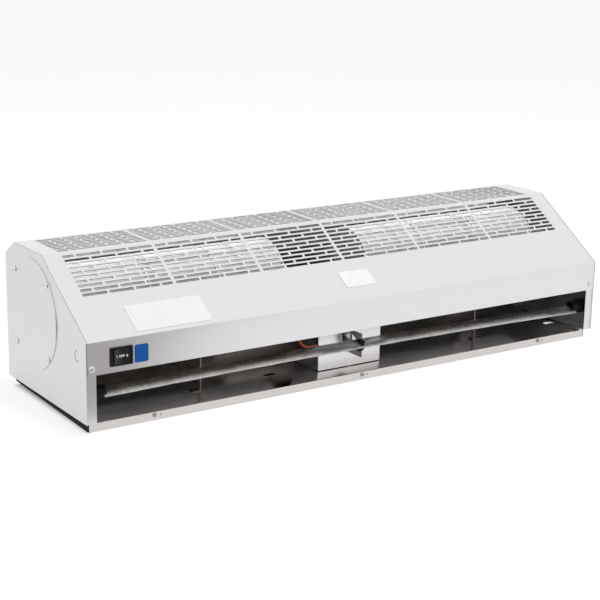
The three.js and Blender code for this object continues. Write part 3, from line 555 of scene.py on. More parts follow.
def slot_row(short_first):
    """From and to of each slot in a row: widths and webs added up in each panel."""
    widths = np.array([SHORT_SLOT, *[LONG_SLOT] * 3] if short_first else [*[LONG_SLOT] * 3, SHORT_SLOT])
    start = np.concatenate([[0], np.cumsum(widths[:-1] + SLOT_WEB)])
    panel = SLOT_MARGIN + np.arange(PANELS)[:, None] * (PANEL_WIDTH + SLOT_PANEL_GAP)
    return zip((panel + start).ravel(), (panel + start + widths).ravel())


def slots(line, run, reaches):
    """The holes of all rows on one run of the casing's line."""
    return [
        rounded_box((x0, v - SLOT_HEIGHT / 2), (x1, v + SLOT_HEIGHT / 2), SLOT_CORNER)
        for row, v in enumerate(line.reach(run, reach) for reach in reaches)
        for x0, x1 in slot_row(row % 2 == 0)]


casing_line = FoldedLine([[0, FASCIA_BOTTOM], *OUTLINE[1:]], BEND)
SLOPE_LENGTH = np.hypot(SLOPE_RUN, CASING_TOP - FASCIA_TOP)
TOP_RUN = DEPTH - CHAMFER_RUN - SLOPE_RUN
TOP_ROWS = int((TOP_RUN - TOP_MARGIN) // SLOT_PITCH) + 1
slope_reaches = SLOPE_LENGTH - FIRST_ROW - np.arange(SLOPE_ROWS) * SLOT_PITCH
top_reaches = (TOP_RUN - (TOP_ROWS - 1) * SLOT_PITCH) / 2 + np.arange(TOP_ROWS) * SLOT_PITCH
SWITCH_X, SWITCH_Z = 51.65, 103.65
SWITCH_CUT = np.array([14.8, 12.3])
FASCIA_SCREW_X, FASCIA_SCREW_Z = 7.8, 91.4
switch_place = np.array([SWITCH_X, casing_line.reach(0, SWITCH_Z - FASCIA_BOTTOM)])
screw_v = casing_line.reach(0, FASCIA_SCREW_Z - FASCIA_BOTTOM)
casing_holes = [
    *slots(casing_line, 1, slope_reaches), *slots(casing_line, 2, top_reaches),
    rounded_box(switch_place - SWITCH_CUT, switch_place + SWITCH_CUT, 1.0),
    *[screw_hole((x, screw_v)) for x in (FASCIA_SCREW_X, LENGTH - FASCIA_SCREW_X)]]
casing_ends = (SHEET + SEAM, LENGTH - SHEET - SEAM)
casing_sheet = folded_sheet(casing_line, folded_along_x, *casing_ends, casing_holes)
skin("casing", casing_sheet, CASING_STEEL, "stainless")
print("casing:", len(casing_holes), "holes in a blank", round(casing_line.v[-1], 1), "mm long")

# %% [markdown]
# ## End plates
# Each end is a plate with the casing's outline and a flange turned inwards all round, on which the
# casing is screwed. The flange is one strip carried round the outline, a little smaller than the
# casing's inside. The knockout for a cable gland is a disc that is struck almost free: a thin ring
# of gap runs round it, and one tab holds it.

# %% Strips carried round a line, and the end plates


def inset(points, distance):
    """A closed outline, clockwise in (y, z), moved in: each corner lies on both moved edges."""
    points = np.asarray(points, float)
    edge = np.roll(points, -1, axis=0) - points
    normal = np.stack([edge[:, 1], -edge[:, 0]], -1) / np.linalg.norm(edge, axis=1)[:, None]
    before = np.roll(normal, 1, axis=0)
    share = 1 + np.sum(normal * before, axis=1)
    return points + distance * (normal + before) / share[:, None]


def inside_casing(distance):
    """The casing's outline moved in, but not at its open lower side."""
    moved = inset(OUTLINE, distance)
    moved[[0, -1], 1] = CASING_FOOT
    return moved


def band(outline, x0, x1, thickness):
    """A flat strip round a closed outline: four corners of its section at each outline point."""
    inner = inset(outline, thickness)
    section = [(outline, x0), (outline, x1), (inner, x1), (inner, x0)]
    rows = np.stack([np.column_stack([np.full(len(loop), x), loop]) for loop, x in section], 1)
    return rows.reshape(-1, 3), grid_faces(len(outline), 4, True, True)


ROTOR_Y, ROTOR_Z = 168.0, 128.0
AXIS = (ROTOR_Y, ROTOR_Z)
ACCESS_RADIUS, COVER_RADIUS, COVER_SCREW = 70, 80, 53
FLANGE = 15.2
KNOCKOUT = np.array([26.0, 104.3])
KNOCKOUT_RADIUS, KNOCKOUT_CUT, KNOCKOUT_DEPTH = 7.9, 0.6, 0.4
TAB_HALF, TAB_START, TAB_END, TAB_SHEET, TAB_DEPTH = 1.5, 6.8, 8.4, 0.6, 0.5
cover_screws = [(ROTOR_Y + a * COVER_SCREW, ROTOR_Z + b * COVER_SCREW) for a in (1, -1) for b in (1, -1)]
plate_holes = [
    ring(AXIS, ACCESS_RADIUS, 96), *[screw_hole(c) for c in cover_screws],
    ring(KNOCKOUT, KNOCKOUT_RADIUS)]
plate = sheet(OUTLINE, plate_holes, SHEET, upright(0.0))
disc_outline = ring(KNOCKOUT, KNOCKOUT_RADIUS - KNOCKOUT_CUT)
disc = sheet(disc_outline, [], SHEET - KNOCKOUT_DEPTH, upright(KNOCKOUT_DEPTH))
tab_outline = rounded_box(KNOCKOUT + [-TAB_HALF, TAB_START], KNOCKOUT + [TAB_HALF, TAB_END], 0.2)
tab = sheet(tab_outline, [], TAB_SHEET, upright(TAB_DEPTH))
flange = band(inside_casing(SHEET + GAP), SHEET / 2, FLANGE, SHEET)
skin_pair("end_plate", gathered(plate, disc, tab, flange), END_STEEL, "stainless")

# %% [markdown]
# ## Round pieces
# Covers, screws, bushes and motors are turned: a profile of (distance along the axis, radius) is
# carried round the axis as a grid of profile points by turns. A closed profile closes the solid.

# %% Turning


def turned(profile, centre, count=64):
    """Points (x, y + r cos t, z + r sin t) for each profile point (x, r) and each turn t."""
    profile = np.asarray(profile, float)
    turn = np.linspace(0, 2 * np.pi, count, endpoint=False)
    x, r = profile[:, :1], profile[:, 1:]
    points = np.stack([
        np.broadcast_to(x, (len(profile), count)),
        centre[0] + r * np.cos(turn), centre[1] + r * np.sin(turn)], -1)
    return points.reshape(-1, 3), grid_faces(len(profile), count, True, True)


def arc(centre, radius, start, end, steps=4):
    """Profile points on an arc, angles in degrees from the axis."""
    turn = np.radians(np.linspace(start, end, steps + 1))
    return [(centre[0] + radius * np.cos(t), centre[1] + radius * np.sin(t)) for t in turn]


COVER_OUT = -GAP - SHEET
COVER_EDGE, COVER_LAP = 0.55, 0.06
cover = sheet(
    ring(AXIS, COVER_RADIUS - 0.5, 144), [screw_hole(c) for c in cover_screws], SHEET,
    upright(COVER_OUT))
rim_profile = [
    (COVER_OUT, COVER_RADIUS - COVER_EDGE), (COVER_OUT + 0.1, COVER_RADIUS - 0.15),
    (COVER_OUT + 0.4, COVER_RADIUS), (-COVER_LAP, COVER_RADIUS), (-COVER_LAP, COVER_RADIUS - COVER_EDGE)]
cover_rim = turned(rim_profile, AXIS, 144)
skin_pair("access_cover", gathered(cover, cover_rim), END_STEEL, "stainless")

# %% [markdown]
# ## Screws
# A pan head is a low dome with a cross recess. Cutting the cross with a boolean would tear the dome's
# grid, so the recess is part of the height: the dome is lowered wherever a point lies in one of the
# two arms, with a steep but smooth wall.

# %% Pan-head screws
ARM_LENGTH, ARM_WIDTH = 0.62, 0.22
SHANK_RADIUS, SHANK_LENGTH = 2.0, 8.0


def screw_head(radius, height, lean):
    """A dome height * (0.35 + 0.65 sqrt(1 - r^3.2)), r up to 1, less a cross of 0.8 * height."""
    rings, count = 14, 64
    r = np.linspace(0, 1, rings)[:, None] ** 0.8
    turn = np.linspace(0, 2 * np.pi, count, endpoint=False)[None, :]
    a, b = r * np.cos(turn), r * np.sin(turn)
    p = np.abs(a * np.cos(lean) + b * np.sin(lean))
    q = np.abs(b * np.cos(lean) - a * np.sin(lean))
    arm = np.minimum(
        np.maximum(p / ARM_LENGTH, q / ARM_WIDTH), np.maximum(q / ARM_LENGTH, p / ARM_WIDTH))
    recess = 0.8 * np.clip((1.15 - arm) / 0.35, 0, 1)
    along = height * (0.35 + 0.65 * np.sqrt(np.clip(1 - r ** 3.2, 0, 1)) * np.ones_like(arm) - recess)
    dome = np.stack([along, radius * a, radius * b], -1)
    foot = dome[-1:].copy()
    foot[..., 0] = 0
    under = np.zeros_like(dome[:1])
    points = np.concatenate([dome, foot, under]).reshape(-1, 3)
    return points, grid_faces(rings + 2, count, False, True)


def turned_to(shape, seat, out):
    """A shape on its own axis, put with its seat at a place and its head towards out (x or y)."""
    points, faces = shape
    along, a, b = np.asarray(points).T
    placed = [along * out[0], a, b] if out[0] else [a, along * out[1], b]
    return np.stack(placed, -1) + np.asarray(seat, float), faces


def screw(radius, height, lean):
    """A head on a plain shank, which is a turned bar behind the seat."""
    profile = [
        (0.2, 0), (0.2, SHANK_RADIUS), (0.6 - SHANK_LENGTH, SHANK_RADIUS),
        (-SHANK_LENGTH, SHANK_RADIUS - 0.5), (-SHANK_LENGTH, 0)]
    return gathered(screw_head(radius, height, lean), turned(profile, (0, 0), 16))


COVER_SEAT = COVER_OUT - GAP
for number, (y, z) in enumerate(cover_screws):
    left = turned_to(screw(4.6, 2.5, 0.4 + 1.1 * number), (COVER_SEAT, y, z), (-1, 0))
    for side, made in (("left", left), ("right", mirrored(left))):
        skin(f"cover_screw_{side}_{number + 1}", made, SCREW_METAL, "bright_steel")
fascia_screw = turned_to(screw(4.6, 2.6, 0.75), (FASCIA_SCREW_X, -GAP, FASCIA_SCREW_Z), (0, -1))
skin_pair("fascia_screw", fascia_screw, SCREW_METAL, "bright_steel")

# %% [markdown]
# ## The mounting pan
# The pan closes the wall side. Its floor turns down into a front and a back flange, and its ends
# have a flange each and a raised hem on which the end plates stand. Three screws in the front flange
# hold it to a wall rail, each with a small plain hole beside it. A black strip at each end is painted
# shade: it stands in the recess under the end plate, where the shadow falls.

# %% Pan
PAN_X, PAN_Y, PAN_FLOOR, PAN_TAPER = 8.1, 10.9, 11.8, 6.0
PAN_BACK, PAN_RIGHT = DEPTH - 8, LENGTH - PAN_X
INNER_BEND = 1.8
HEM_TOP, HEM_WIDTH = CASING_FOOT - GAP, 6.5
PAN_SCREWS = MIDDLE + np.array([-350.6, 0, 350.6])
PAN_SCREW_Z = 7.4
SIDE_HOLE, SIDE_HOLE_STEP = 1.5, np.array([9.5, -0.4])
DRIVER_SLOTS, DRIVER_SLOT_Y = (330, LENGTH - 30.4), 70
DRIVER_SLOT_HALF = np.array([9, 4.5])
pan_line = FoldedLine(
    [[PAN_Y, 0], [PAN_Y, PAN_FLOOR], [PAN_BACK, PAN_FLOOR], [PAN_BACK, PAN_TAPER]], INNER_BEND, 5)
screw_places = [np.array([x, pan_line.reach(0, PAN_SCREW_Z)]) for x in PAN_SCREWS]
slot_places = [np.array([x, pan_line.reach(1, DRIVER_SLOT_Y - PAN_Y)]) for x in DRIVER_SLOTS]
pan_holes = [
    *[screw_hole(place) for place in screw_places],
    *[ring(place + SIDE_HOLE_STEP, SIDE_HOLE, 14) for place in screw_places],
    *[rounded_box(place - DRIVER_SLOT_HALF, place + DRIVER_SLOT_HALF, 2.0, 4) for place in slot_places]]
pan_sheet = folded_sheet(pan_line, folded_along_x, PAN_X, PAN_RIGHT, pan_holes)

def wedge(outline, x0, x1):
    """A plate from x0 to x1 with an outline in (y, z)."""
    return sheet(outline, [], x1 - x0, upright(x0))


end_flange = wedge([
    [PAN_Y + SHEET, 0], [PAN_BACK - SHEET, PAN_TAPER],
    [PAN_BACK - SHEET, PAN_FLOOR - SHEET], [PAN_Y + SHEET, PAN_FLOOR - SHEET]], PAN_X, PAN_X + SHEET)
hem_outline = rounded_box((PAN_Y, PAN_FLOOR - SHEET + 0.1), (PAN_BACK, HEM_TOP), 0.5)
hem = wedge(hem_outline, PAN_X, PAN_X + HEM_WIDTH)
skin(
    "mounting_pan", gathered(pan_sheet, end_flange, hem, mirrored(end_flange), mirrored(hem)),
    PAN_STEEL, "stainless")
# Painted shade: a black strip outside each end flange, in the recess under the end plate.
end_shade_sheet = wedge([
    [PAN_Y + 0.4, 0.2], [PAN_BACK - 1, PAN_TAPER + 0.2], [PAN_BACK - 1, HEM_TOP - 0.2],
    [PAN_Y + 0.4, HEM_TOP - 0.2]], PAN_X - 1.6, PAN_X - 0.05)
for side, made in (("left", end_shade_sheet), ("right", mirrored(end_shade_sheet))):
    piece(f"pan_seal_{side}_skin", made, END_SHADE_BLACK, "black_nylon")
for number, x in enumerate(PAN_SCREWS):
    shape = turned_to(screw(3.1, 1.6, 0.5 + number), (x, PAN_Y - GAP, PAN_SCREW_Z), (0, -1))
    skin(f"pan_screw_{number + 1}", shape, PAN_SCREW, "bright_steel")

# %% [markdown]
# ## The centre panel and the air guides
# Between the two outlets a bright panel hides the motors. Behind each rotor a guide opens like a
# snail's shell: its radius grows by an even share for each degree, first down to the back wall and
# then on to the pan's floor. A section carried along the unit makes it solid.

# %% Solids through loops and sections


def stacked(loops):
    """A closed solid through loops of points with one count; the first and last loop are filled."""
    loops = np.asarray(loops, float)
    levels, count = loops.shape[:2]
    caps = [list(range(count)), list(range(count * levels - 1, count * (levels - 1) - 1, -1))]
    return loops.reshape(-1, 3), grid_faces(levels, count, False, True) + caps


def carried(sections, x):
    """A solid through closed (y, z) sections: one for all stations x, or one for each."""
    sections = np.broadcast_to(sections, (len(x), *np.shape(sections)[-2:]))
    places = np.broadcast_to(np.asarray(x)[:, None, None], (*sections.shape[:2], 1))
    return stacked(np.concatenate([places, sections], -1))


def thickened(line, thickness):
    """A closed section: a line in (y, z), then back along its copy one thickness to the right."""
    along = np.gradient(line, axis=0)
    right = np.stack([along[:, 1], -along[:, 0]], -1) / np.linalg.norm(along, axis=1)[:, None]
    return np.concatenate([line, (line + thickness * right)[::-1]])


# %% Centre panel and rear guides
PANEL_LOW, PANEL_HIGH = box_mm("centre_panel")
LEAD_HOLE_Y, LEAD_HOLE_Z, LEAD_HOLE_RADIUS = 49.0, 53.0, 4.5
panel_line = FoldedLine([
    [PANEL_HIGH[0], PANEL_HIGH[1]], [PANEL_HIGH[0], PANEL_LOW[1]],
    [PANEL_LOW[0], PANEL_LOW[1]], [PANEL_LOW[0], PANEL_HIGH[1]]], INNER_BEND, 5)
lead_hole = ring((LEAD_HOLE_Z, panel_line.reach(2, LEAD_HOLE_Y - PANEL_LOW[1])), LEAD_HOLE_RADIUS, 24)
panel_sheet = folded_sheet(panel_line, folded_along_z, PANEL_LOW[2], PANEL_HIGH[2], [lead_hole])
skin("centre_panel", panel_sheet, PANEL_STEEL, "stainless")

GUIDE_LOW, GUIDE_HIGH = box_mm("rear_guide_left")
GUIDE_FLOOR = PAN_FLOOR + GAP
GUIDE_KNOTS = np.radians([-100, -10, 55])
GUIDE_BACK_SPACE, GUIDE_TOP_RADIUS, GUIDE_TAIL = 2.2, 71.5, 33


def guide_line():
    """The guide's section: log r is straight between three knots, from the seat on the chamfer down."""
    back = (DEPTH - ROTOR_Y - GUIDE_BACK_SPACE) / np.cos(GUIDE_KNOTS[1])
    outlet = (GUIDE_FLOOR - ROTOR_Z) / np.sin(GUIDE_KNOTS[0])
    turns = np.linspace(GUIDE_KNOTS[2], GUIDE_KNOTS[0], 63)
    radius = np.exp(np.interp(turns, GUIDE_KNOTS, np.log([outlet, back, GUIDE_TOP_RADIUS])))
    spiral = AXIS + radius[:, None] * np.stack([np.cos(turns), np.sin(turns)], -1)
    upper, lower = inside_casing(SHEET + GAP + 0.6)[3:5]
    seat = upper + 0.35 * (lower - upper)
    foot = [spiral[-1, 0] - GUIDE_TAIL, GUIDE_FLOOR]
    return np.concatenate([[seat], spiral, [foot]])


guide = carried(thickened(guide_line(), SHEET), np.linspace(GUIDE_LOW[0], GUIDE_HIGH[0], 5))
skin_pair("rear_guide", guide, GUIDE_ZINC, "galvanised")

# %% [markdown]
# ## The vane
# A long galvanised strip, curved like a wing: steep at its front edge, almost flat at the rear. It's
# held at both ends and in the middle, and a strip so thin is never straight: it bows up by a few
# millimetres towards the middle bush, and its front edge ripples.

# %% Vane
VANE_LOW, VANE_HIGH = box_mm("vane")
VANE_FRONT = np.array([5.3, 48.3])
VANE_WIDTH, VANE_STEEP, VANE_FLAT = 21.4, 40, 4
VANE_BOW, VANE_DROP, VANE_LEAN = 4.65, 1.55, 1.65
RIPPLE_END, RIPPLE_FADE = 12, 7


def vane_line(steps=12):
    """Heading falls evenly from steep to flat along the width: points are sums of small steps."""
    share = (np.arange(steps) + 0.5) / steps
    heading = np.radians(VANE_STEEP - (VANE_STEEP - VANE_FLAT) * share)
    moves = VANE_WIDTH / steps * np.stack([np.cos(heading), np.sin(heading)], -1)
    return np.concatenate([[VANE_FRONT], VANE_FRONT + np.cumsum(moves, axis=0)])


def vane_shape():
    """Rise(x) = bow * (1 - t^2) - drop - lean * t, with t from -1 to 1, and ripples at the front."""
    x = np.linspace(VANE_LOW[0], VANE_HIGH[0], 241)
    t = np.linspace(-1, 1, len(x))
    section = thickened(vane_line(), SHEET)
    rise = VANE_BOW * (1 - t ** 2) - VANE_DROP - VANE_LEAN * t
    ripple = 0.20 * np.sin(0.061 * x) + 0.14 * np.sin(0.143 * x + 1.3) + 0.07 * np.sin(0.39 * x)
    weight = np.clip((RIPPLE_END - section[:, 0]) / RIPPLE_FADE, 0, 1)
    height = section[:, 1] + rise[:, None] + ripple[:, None] * weight
    return carried(np.stack([np.broadcast_to(section[:, 0], height.shape), height], -1), x)


skin("vane", vane_shape(), VANE_ZINC, "galvanised", "air_vane")

# %% [markdown]
# ## Bushes and cups
# A bush turns with the vane in a round seat: a nylon cup on each end plate, and the centre bracket
# between the outlets. Bushes and cups are bars turned round the vane's pivot, and each seat is a
# little wider than its bush, so that the vane turns freely.

# %% Bushes and end brackets
PIVOT = (17.0, 52.1)
BUSH_RADIUS, JOURNAL_RADIUS, SEAT_RADIUS = 9.3, 6.2, 9.6
CUP_RIM, CUP_FLOOR, CUP_RADIUS = 19, 15.8, 11
EASE = 0.7


def barrel(x0, x1, radius):
    """A closed bar along x with eased ends, round the vane's pivot."""
    return turned([
        (x0, 0), (x0, radius - EASE), (x0 + EASE, radius),
        (x1 - EASE, radius), (x1, radius - EASE), (x1, 0)], PIVOT, 48)


for node in ("vane_bush_left", "vane_bush_right"):
    low, high = box_mm(node)
    skin(node, barrel(low[0], high[0], BUSH_RADIUS), NYLON, "black_nylon", "air_vane")
low, high = box_mm("vane_bush_centre")
middle_bush = gathered(
    barrel(low[0], MIDDLE + 0.9, BUSH_RADIUS), barrel(MIDDLE + 0.2, high[0], JOURNAL_RADIUS))
skin("vane_bush_centre", middle_bush, NYLON, "black_nylon", "air_vane")
cup_start = SHEET + GAP
cup_profile = [
    (cup_start, 0), (cup_start, CUP_RADIUS), (CUP_RIM - 0.5, CUP_RADIUS), (CUP_RIM, CUP_RADIUS - 0.5),
    (CUP_RIM, SEAT_RADIUS), (CUP_FLOOR, SEAT_RADIUS), (CUP_FLOOR, 0)]
skin_pair("vane_bracket", turned(cup_profile, PIVOT, 48), NYLON, "black_nylon")

# %% [markdown]
# ## The centre bracket
# An angle holds the middle bush: a short foot on the centre panel, and a side plate with a round seat
# and a three-cornered window that leaves a slanting web between them.

# %% Centre bracket
BRACKET_LOW, BRACKET_HIGH = box_mm("centre_bracket")
WINDOW = [[40.8, 64.0], [39.3, 52.2], [27.4, 57.4]]
FOOT_BOTTOM, FOOT_TOP = 48.4, 66.4
side_outline = rounded_box(BRACKET_LOW[1:], BRACKET_HIGH[1:], 0.8)
side_plate = sheet(side_outline, [ring(PIVOT, SEAT_RADIUS, 64), WINDOW], SHEET, upright(MIDDLE))
foot_outline = rounded_box((BRACKET_LOW[0], FOOT_BOTTOM), (MIDDLE + 0.1, FOOT_TOP), 1.5, 5)


def on_panel(u, v, w):
    """u along x, v up, w into the foot from its front."""
    return np.stack([u, BRACKET_HIGH[1] - SHEET + w, v], -1)


# One angle, two tones: the side plate wears the painted-shade dark steel, the foot the plain steel.
skin("centre_bracket", side_plate, SHADED_BRACKET_STEEL, "stainless")
piece("centre_bracket_foot_skin", sheet(foot_outline, [], SHEET, on_panel), BRACKET_FOOT, "stainless")

# %% [markdown]
# ## The rotors
# A cross-flow rotor is a cage: narrow curved blades between discs. Each blade's section is a curve
# with rounded edges, carried along the gap between two discs, and the three segments are turned a
# little against each other, so that their blades don't sing on the same note.

# %% Rotors
ROTOR_LOW, ROTOR_HIGH = box_mm("rotor_left")
HUB_OUT, HUB_RADIUS, SHAFT_BORE = 5.5, 12.0, 4.3
ROTOR_X0, ROTOR_X1 = ROTOR_LOW[0] + HUB_OUT, ROTOR_HIGH[0] - HUB_OUT
DISC, ROTOR_RADIUS, RING_INNER = 2.0, 66.0, 47
GROOVE_INNER, GROOVE_OUTER, GROOVE_DEPTH = 30, 45, 0.6
BLADE_INNER, BLADE_OUTER, BLADE_LEAN, BLADE_SHEET = 52.5, 65.4, 19, 0.9
BLADES, SEGMENTS = 32, 3
BLADE_STEP = 2 * np.pi / BLADES


def blade_section(samples=6):
    """A curve from the inner to the outer radius that leans back as 19 degrees * share ** 1.3."""
    share = np.linspace(0, 1, samples)
    radius = BLADE_INNER + share * (BLADE_OUTER - BLADE_INNER)
    lean = -np.radians(BLADE_LEAN) * share ** 1.3
    line = np.stack([radius * np.cos(lean), radius * np.sin(lean)], -1)
    along = np.gradient(line, axis=0)
    normal = np.stack([-along[:, 1], along[:, 0]], -1) / np.linalg.norm(along, axis=1)[:, None]
    half = BLADE_SHEET / 2 * np.sqrt(np.clip(1 - (2 * share - 1) ** 6, 0.15, 1))[:, None]
    return np.concatenate([line + half * normal, (line - half * normal)[::-1]])


def blades(x0, x1, offset):
    """All blades of one segment: the section turned by each blade's angle, at both ends."""
    section = blade_section()
    turn = np.arange(BLADES) * BLADE_STEP + offset
    c, s = np.cos(turn)[:, None], np.sin(turn)[:, None]
    y = ROTOR_Y + c * section[:, 0] - s * section[:, 1]
    z = ROTOR_Z + s * section[:, 0] + c * section[:, 1]
    return gathered(*[carried(np.stack(yz, -1), (x0, x1)) for yz in zip(y, z)])


def end_disc(face, out):
    """A disc with its outer face at x = face, a hub beyond it, and a shallow pressed groove."""
    inner, tip, groove = face - out * DISC, face + out * HUB_OUT, face - out * GROOVE_DEPTH
    return turned([
        (face, ROTOR_RADIUS - 0.4), (face - out * 0.4, ROTOR_RADIUS), (inner, ROTOR_RADIUS),
        (inner, SHAFT_BORE), (tip, SHAFT_BORE), (tip, HUB_RADIUS - 0.8), (tip - out * 0.8, HUB_RADIUS),
        (face + out * 0.8, HUB_RADIUS), (face, HUB_RADIUS + 0.8), (face, GROOVE_INNER),
        (groove, GROOVE_INNER + 1), (groove, GROOVE_OUTER - 1), (face, GROOVE_OUTER)], AXIS, 96)


def rotor():
    """End discs with hubs, two flat rings between them, and three segments of blades."""
    pitch = (ROTOR_X1 - ROTOR_X0 - DISC) / SEGMENTS
    joints = ROTOR_X0 + np.arange(SEGMENTS + 1) * pitch
    parts = [end_disc(joints[0], -1), end_disc(joints[-1] + DISC, 1)]
    for joint in joints[1:-1]:
        parts.append(turned([
            (joint, RING_INNER), (joint, ROTOR_RADIUS), (joint + DISC, ROTOR_RADIUS),
            (joint + DISC, RING_INNER)], AXIS, 96))
    for number, joint in enumerate(joints[:-1]):
        offset = number * BLADE_STEP / SEGMENTS
        parts.append(blades(joint + DISC - 0.4, joint + pitch + 0.4, offset))
    return gathered(*parts)


skin_pair("rotor", rotor(), ROTOR_METAL, "wheel_aluminium", ("left_rotor", "right_rotor"))

# %% [markdown]
# ## Motors, capacitor and terminal block
# Two small motors stand back to back on the partition. Their shells are turned too, with cooling
# fins between two end bells. The capacitor is a potted box and the terminal block a comb of bays.

# %% Motors
MOTOR_LOW, MOTOR_HIGH = box_mm("motor_left")
MOTOR_RADIUS, BELL_ROUND, BOSS_RADIUS, BOSS = 42.0, 5.0, 18.0, 6.0
BORE_DEPTH, FIN_START, FIN_GROOVES, FIN_DEPTH = 14, 9, 9, 1.6


def motor():
    """Profile from the bore round the shell: boss, end bell, nine grooves between fins, end bell."""
    x0, x1 = MOTOR_LOW[0], MOTOR_HIGH[0]
    face, bell = x0 + BOSS, MOTOR_RADIUS - BELL_ROUND
    profile = [
        (x0 + BORE_DEPTH, 0), (x0 + BORE_DEPTH, SHAFT_BORE), (x0, SHAFT_BORE), (x0, BOSS_RADIUS - 1),
        (x0 + 1, BOSS_RADIUS), (face, BOSS_RADIUS), (face, bell),
        *arc((face + BELL_ROUND, bell), BELL_ROUND, 180, 90)]
    edges = np.linspace(face + FIN_START, x1 - FIN_START, 2 * FIN_GROOVES + 1)
    for low, high in zip(edges[:-1:2], edges[1::2]):
        profile += [
            (low, MOTOR_RADIUS), (low, MOTOR_RADIUS - FIN_DEPTH),
            (high, MOTOR_RADIUS - FIN_DEPTH), (high, MOTOR_RADIUS)]
    profile += [*arc((x1 - BELL_ROUND, bell), BELL_ROUND, 90, 0), (x1, 0)]
    return turned(profile, AXIS, 72)


skin_pair("motor", motor(), ENAMEL, "motor_paint")

# %% Capacitor and terminal block
BAYS, BAY_WALL = 6, 1.6


def soft_box(low, high, radius):
    """A box with rounded edges: rounded rectangles in (x, z), smaller at both ends of y."""
    low, high = np.asarray(low, float), np.asarray(high, float)
    turn = np.radians([0, 30, 60, 90])
    steps = [(low[1] + radius * (1 - np.sin(t)), radius * (1 - np.cos(t))) for t in turn[::-1]]
    steps += [(high[1] - radius * (1 - np.sin(t)), radius * (1 - np.cos(t))) for t in turn]
    loops = []
    for y, shrink in steps:
        corner = max(radius - 0.5 * shrink, 0.1)
        loop = rounded_box(low[[0, 2]] + shrink, high[[0, 2]] - shrink, corner, 4)
        loops.append(np.stack([loop[:, 0], np.full(len(loop), y), loop[:, 1]], -1))
    return stacked(loops)


low, high = box_mm("capacitor")
case = soft_box(low, high - [0, 0, 0.4], 2.2)
studs = [
    soft_box((low[0] + x, low[1] + 8, high[2] - 0.6), (low[0] + x + 1, low[1] + 14, high[2] + 0.1), 0.2)
    for x in (6, 14)]
skin("capacitor", gathered(case, *studs), NYLON, "black_nylon")
low, high = box_mm("terminal_block")
bay_walls = np.linspace(low[0], high[0] - BAY_WALL, BAYS + 1)
comb = [soft_box(low, [high[0], high[1], low[2] + 9], 0.6)]
comb += [soft_box((x, low[1], low[2] + 8), (x + BAY_WALL, high[1], high[2]), 0.3) for x in bay_walls]
comb += [
    soft_box((x + 3, low[1] + y, low[2] + 8.5), (x + 7.2, low[1] + y + 4, low[2] + 11), 0.8)
    for x in bay_walls[:-1] for y in (3, 15)]
skin("terminal_block", gathered(*comb), NYLON, "black_nylon")

# %% [markdown]
# ## The switch
# A rocker with three positions sits in a black frame that snaps into the fascia. The frame is a stack
# of rounded rectangles: from the well's floor, out over the rim, and back round the body. The
# rocker's face dips to the middle, and the marks for on, off and on follow that dip as thin raised
# letters.

# %% Frame and body
SWITCH = np.array([SWITCH_X, SWITCH_Z])
BEZEL_W, BEZEL_H, WELL_W, WELL_H = 33.7, 26.3, 25.6, 21.6
BODY_W, BODY_H, BODY_DEPTH, WELL_DEPTH = 29.0, 24.0, 20.0, 9.0
BEZEL_FRONT = -2.3
TAB_W, TAB_H, TAB_LENGTH = 0.4, 3.15, 8


def frame_loop(width, height, y, radius):
    """A rounded rectangle round the switch's centre, at a depth y."""
    half = np.array([width, height]) / 2
    loop = rounded_box(SWITCH - half, SWITCH + half, radius, 5)
    return np.stack([loop[:, 0], np.full(len(loop), y), loop[:, 1]], -1)


switch_loops = [frame_loop(*row) for row in (
    (1, 1, WELL_DEPTH, 0.3), (WELL_W, WELL_H, WELL_DEPTH, 0.5),
    (WELL_W, WELL_H, BEZEL_FRONT + 0.7, 0.5), (WELL_W + 0.9, WELL_H + 0.9, BEZEL_FRONT + 0.1, 0.9),
    (WELL_W + 1.6, WELL_H + 1.6, BEZEL_FRONT, 1.0), (BEZEL_W - 1.4, BEZEL_H - 1.4, BEZEL_FRONT, 1.0),
    (BEZEL_W - 0.4, BEZEL_H - 0.4, BEZEL_FRONT + 0.35, 1.3), (BEZEL_W, BEZEL_H, BEZEL_FRONT + 0.9, 1.4),
    (BEZEL_W, BEZEL_H, -GAP, 1.4), (BODY_W, BODY_H, -GAP, 0.6),
    (BODY_W, BODY_H, BODY_DEPTH, 0.6), (1, 1, BODY_DEPTH, 0.3))]
tabs = [
    soft_box(
        (SWITCH_X + x - TAB_W, BODY_DEPTH - 1, SWITCH_Z - TAB_H),
        (SWITCH_X + x + TAB_W, BODY_DEPTH + TAB_LENGTH, SWITCH_Z + TAB_H), 0.2)
    for x in (-8, 0, 8)]
skin("switch_body", gathered(stacked(switch_loops), *tabs), SWITCH_BLACK, "black_nylon")

# %% Rocker and marks
ROCKER_R, ROCKER_PIVOT, ROCKER_HALF, ROCKER_DISH, ROCKER_H = 12.5, 0.7, 4.3, 1.9, 21.0
ROCKER_EDGE = ROCKER_R * np.cos(np.arcsin(ROCKER_HALF / ROCKER_R))
MARK_SIZE, MARK_HEIGHT, MARK_WEIGHT, MARK_GAP = 4.7, 0.05, 0.07, 0.03


def rocker_face(x):
    """Depth of the rocker's face: front corner + dish * (1 - (|x| / edge) ^ 1.7)."""
    share = np.clip(np.abs(x) / ROCKER_EDGE, 0, 1)
    return ROCKER_PIVOT - ROCKER_HALF + ROCKER_DISH * (1 - share ** 1.7)


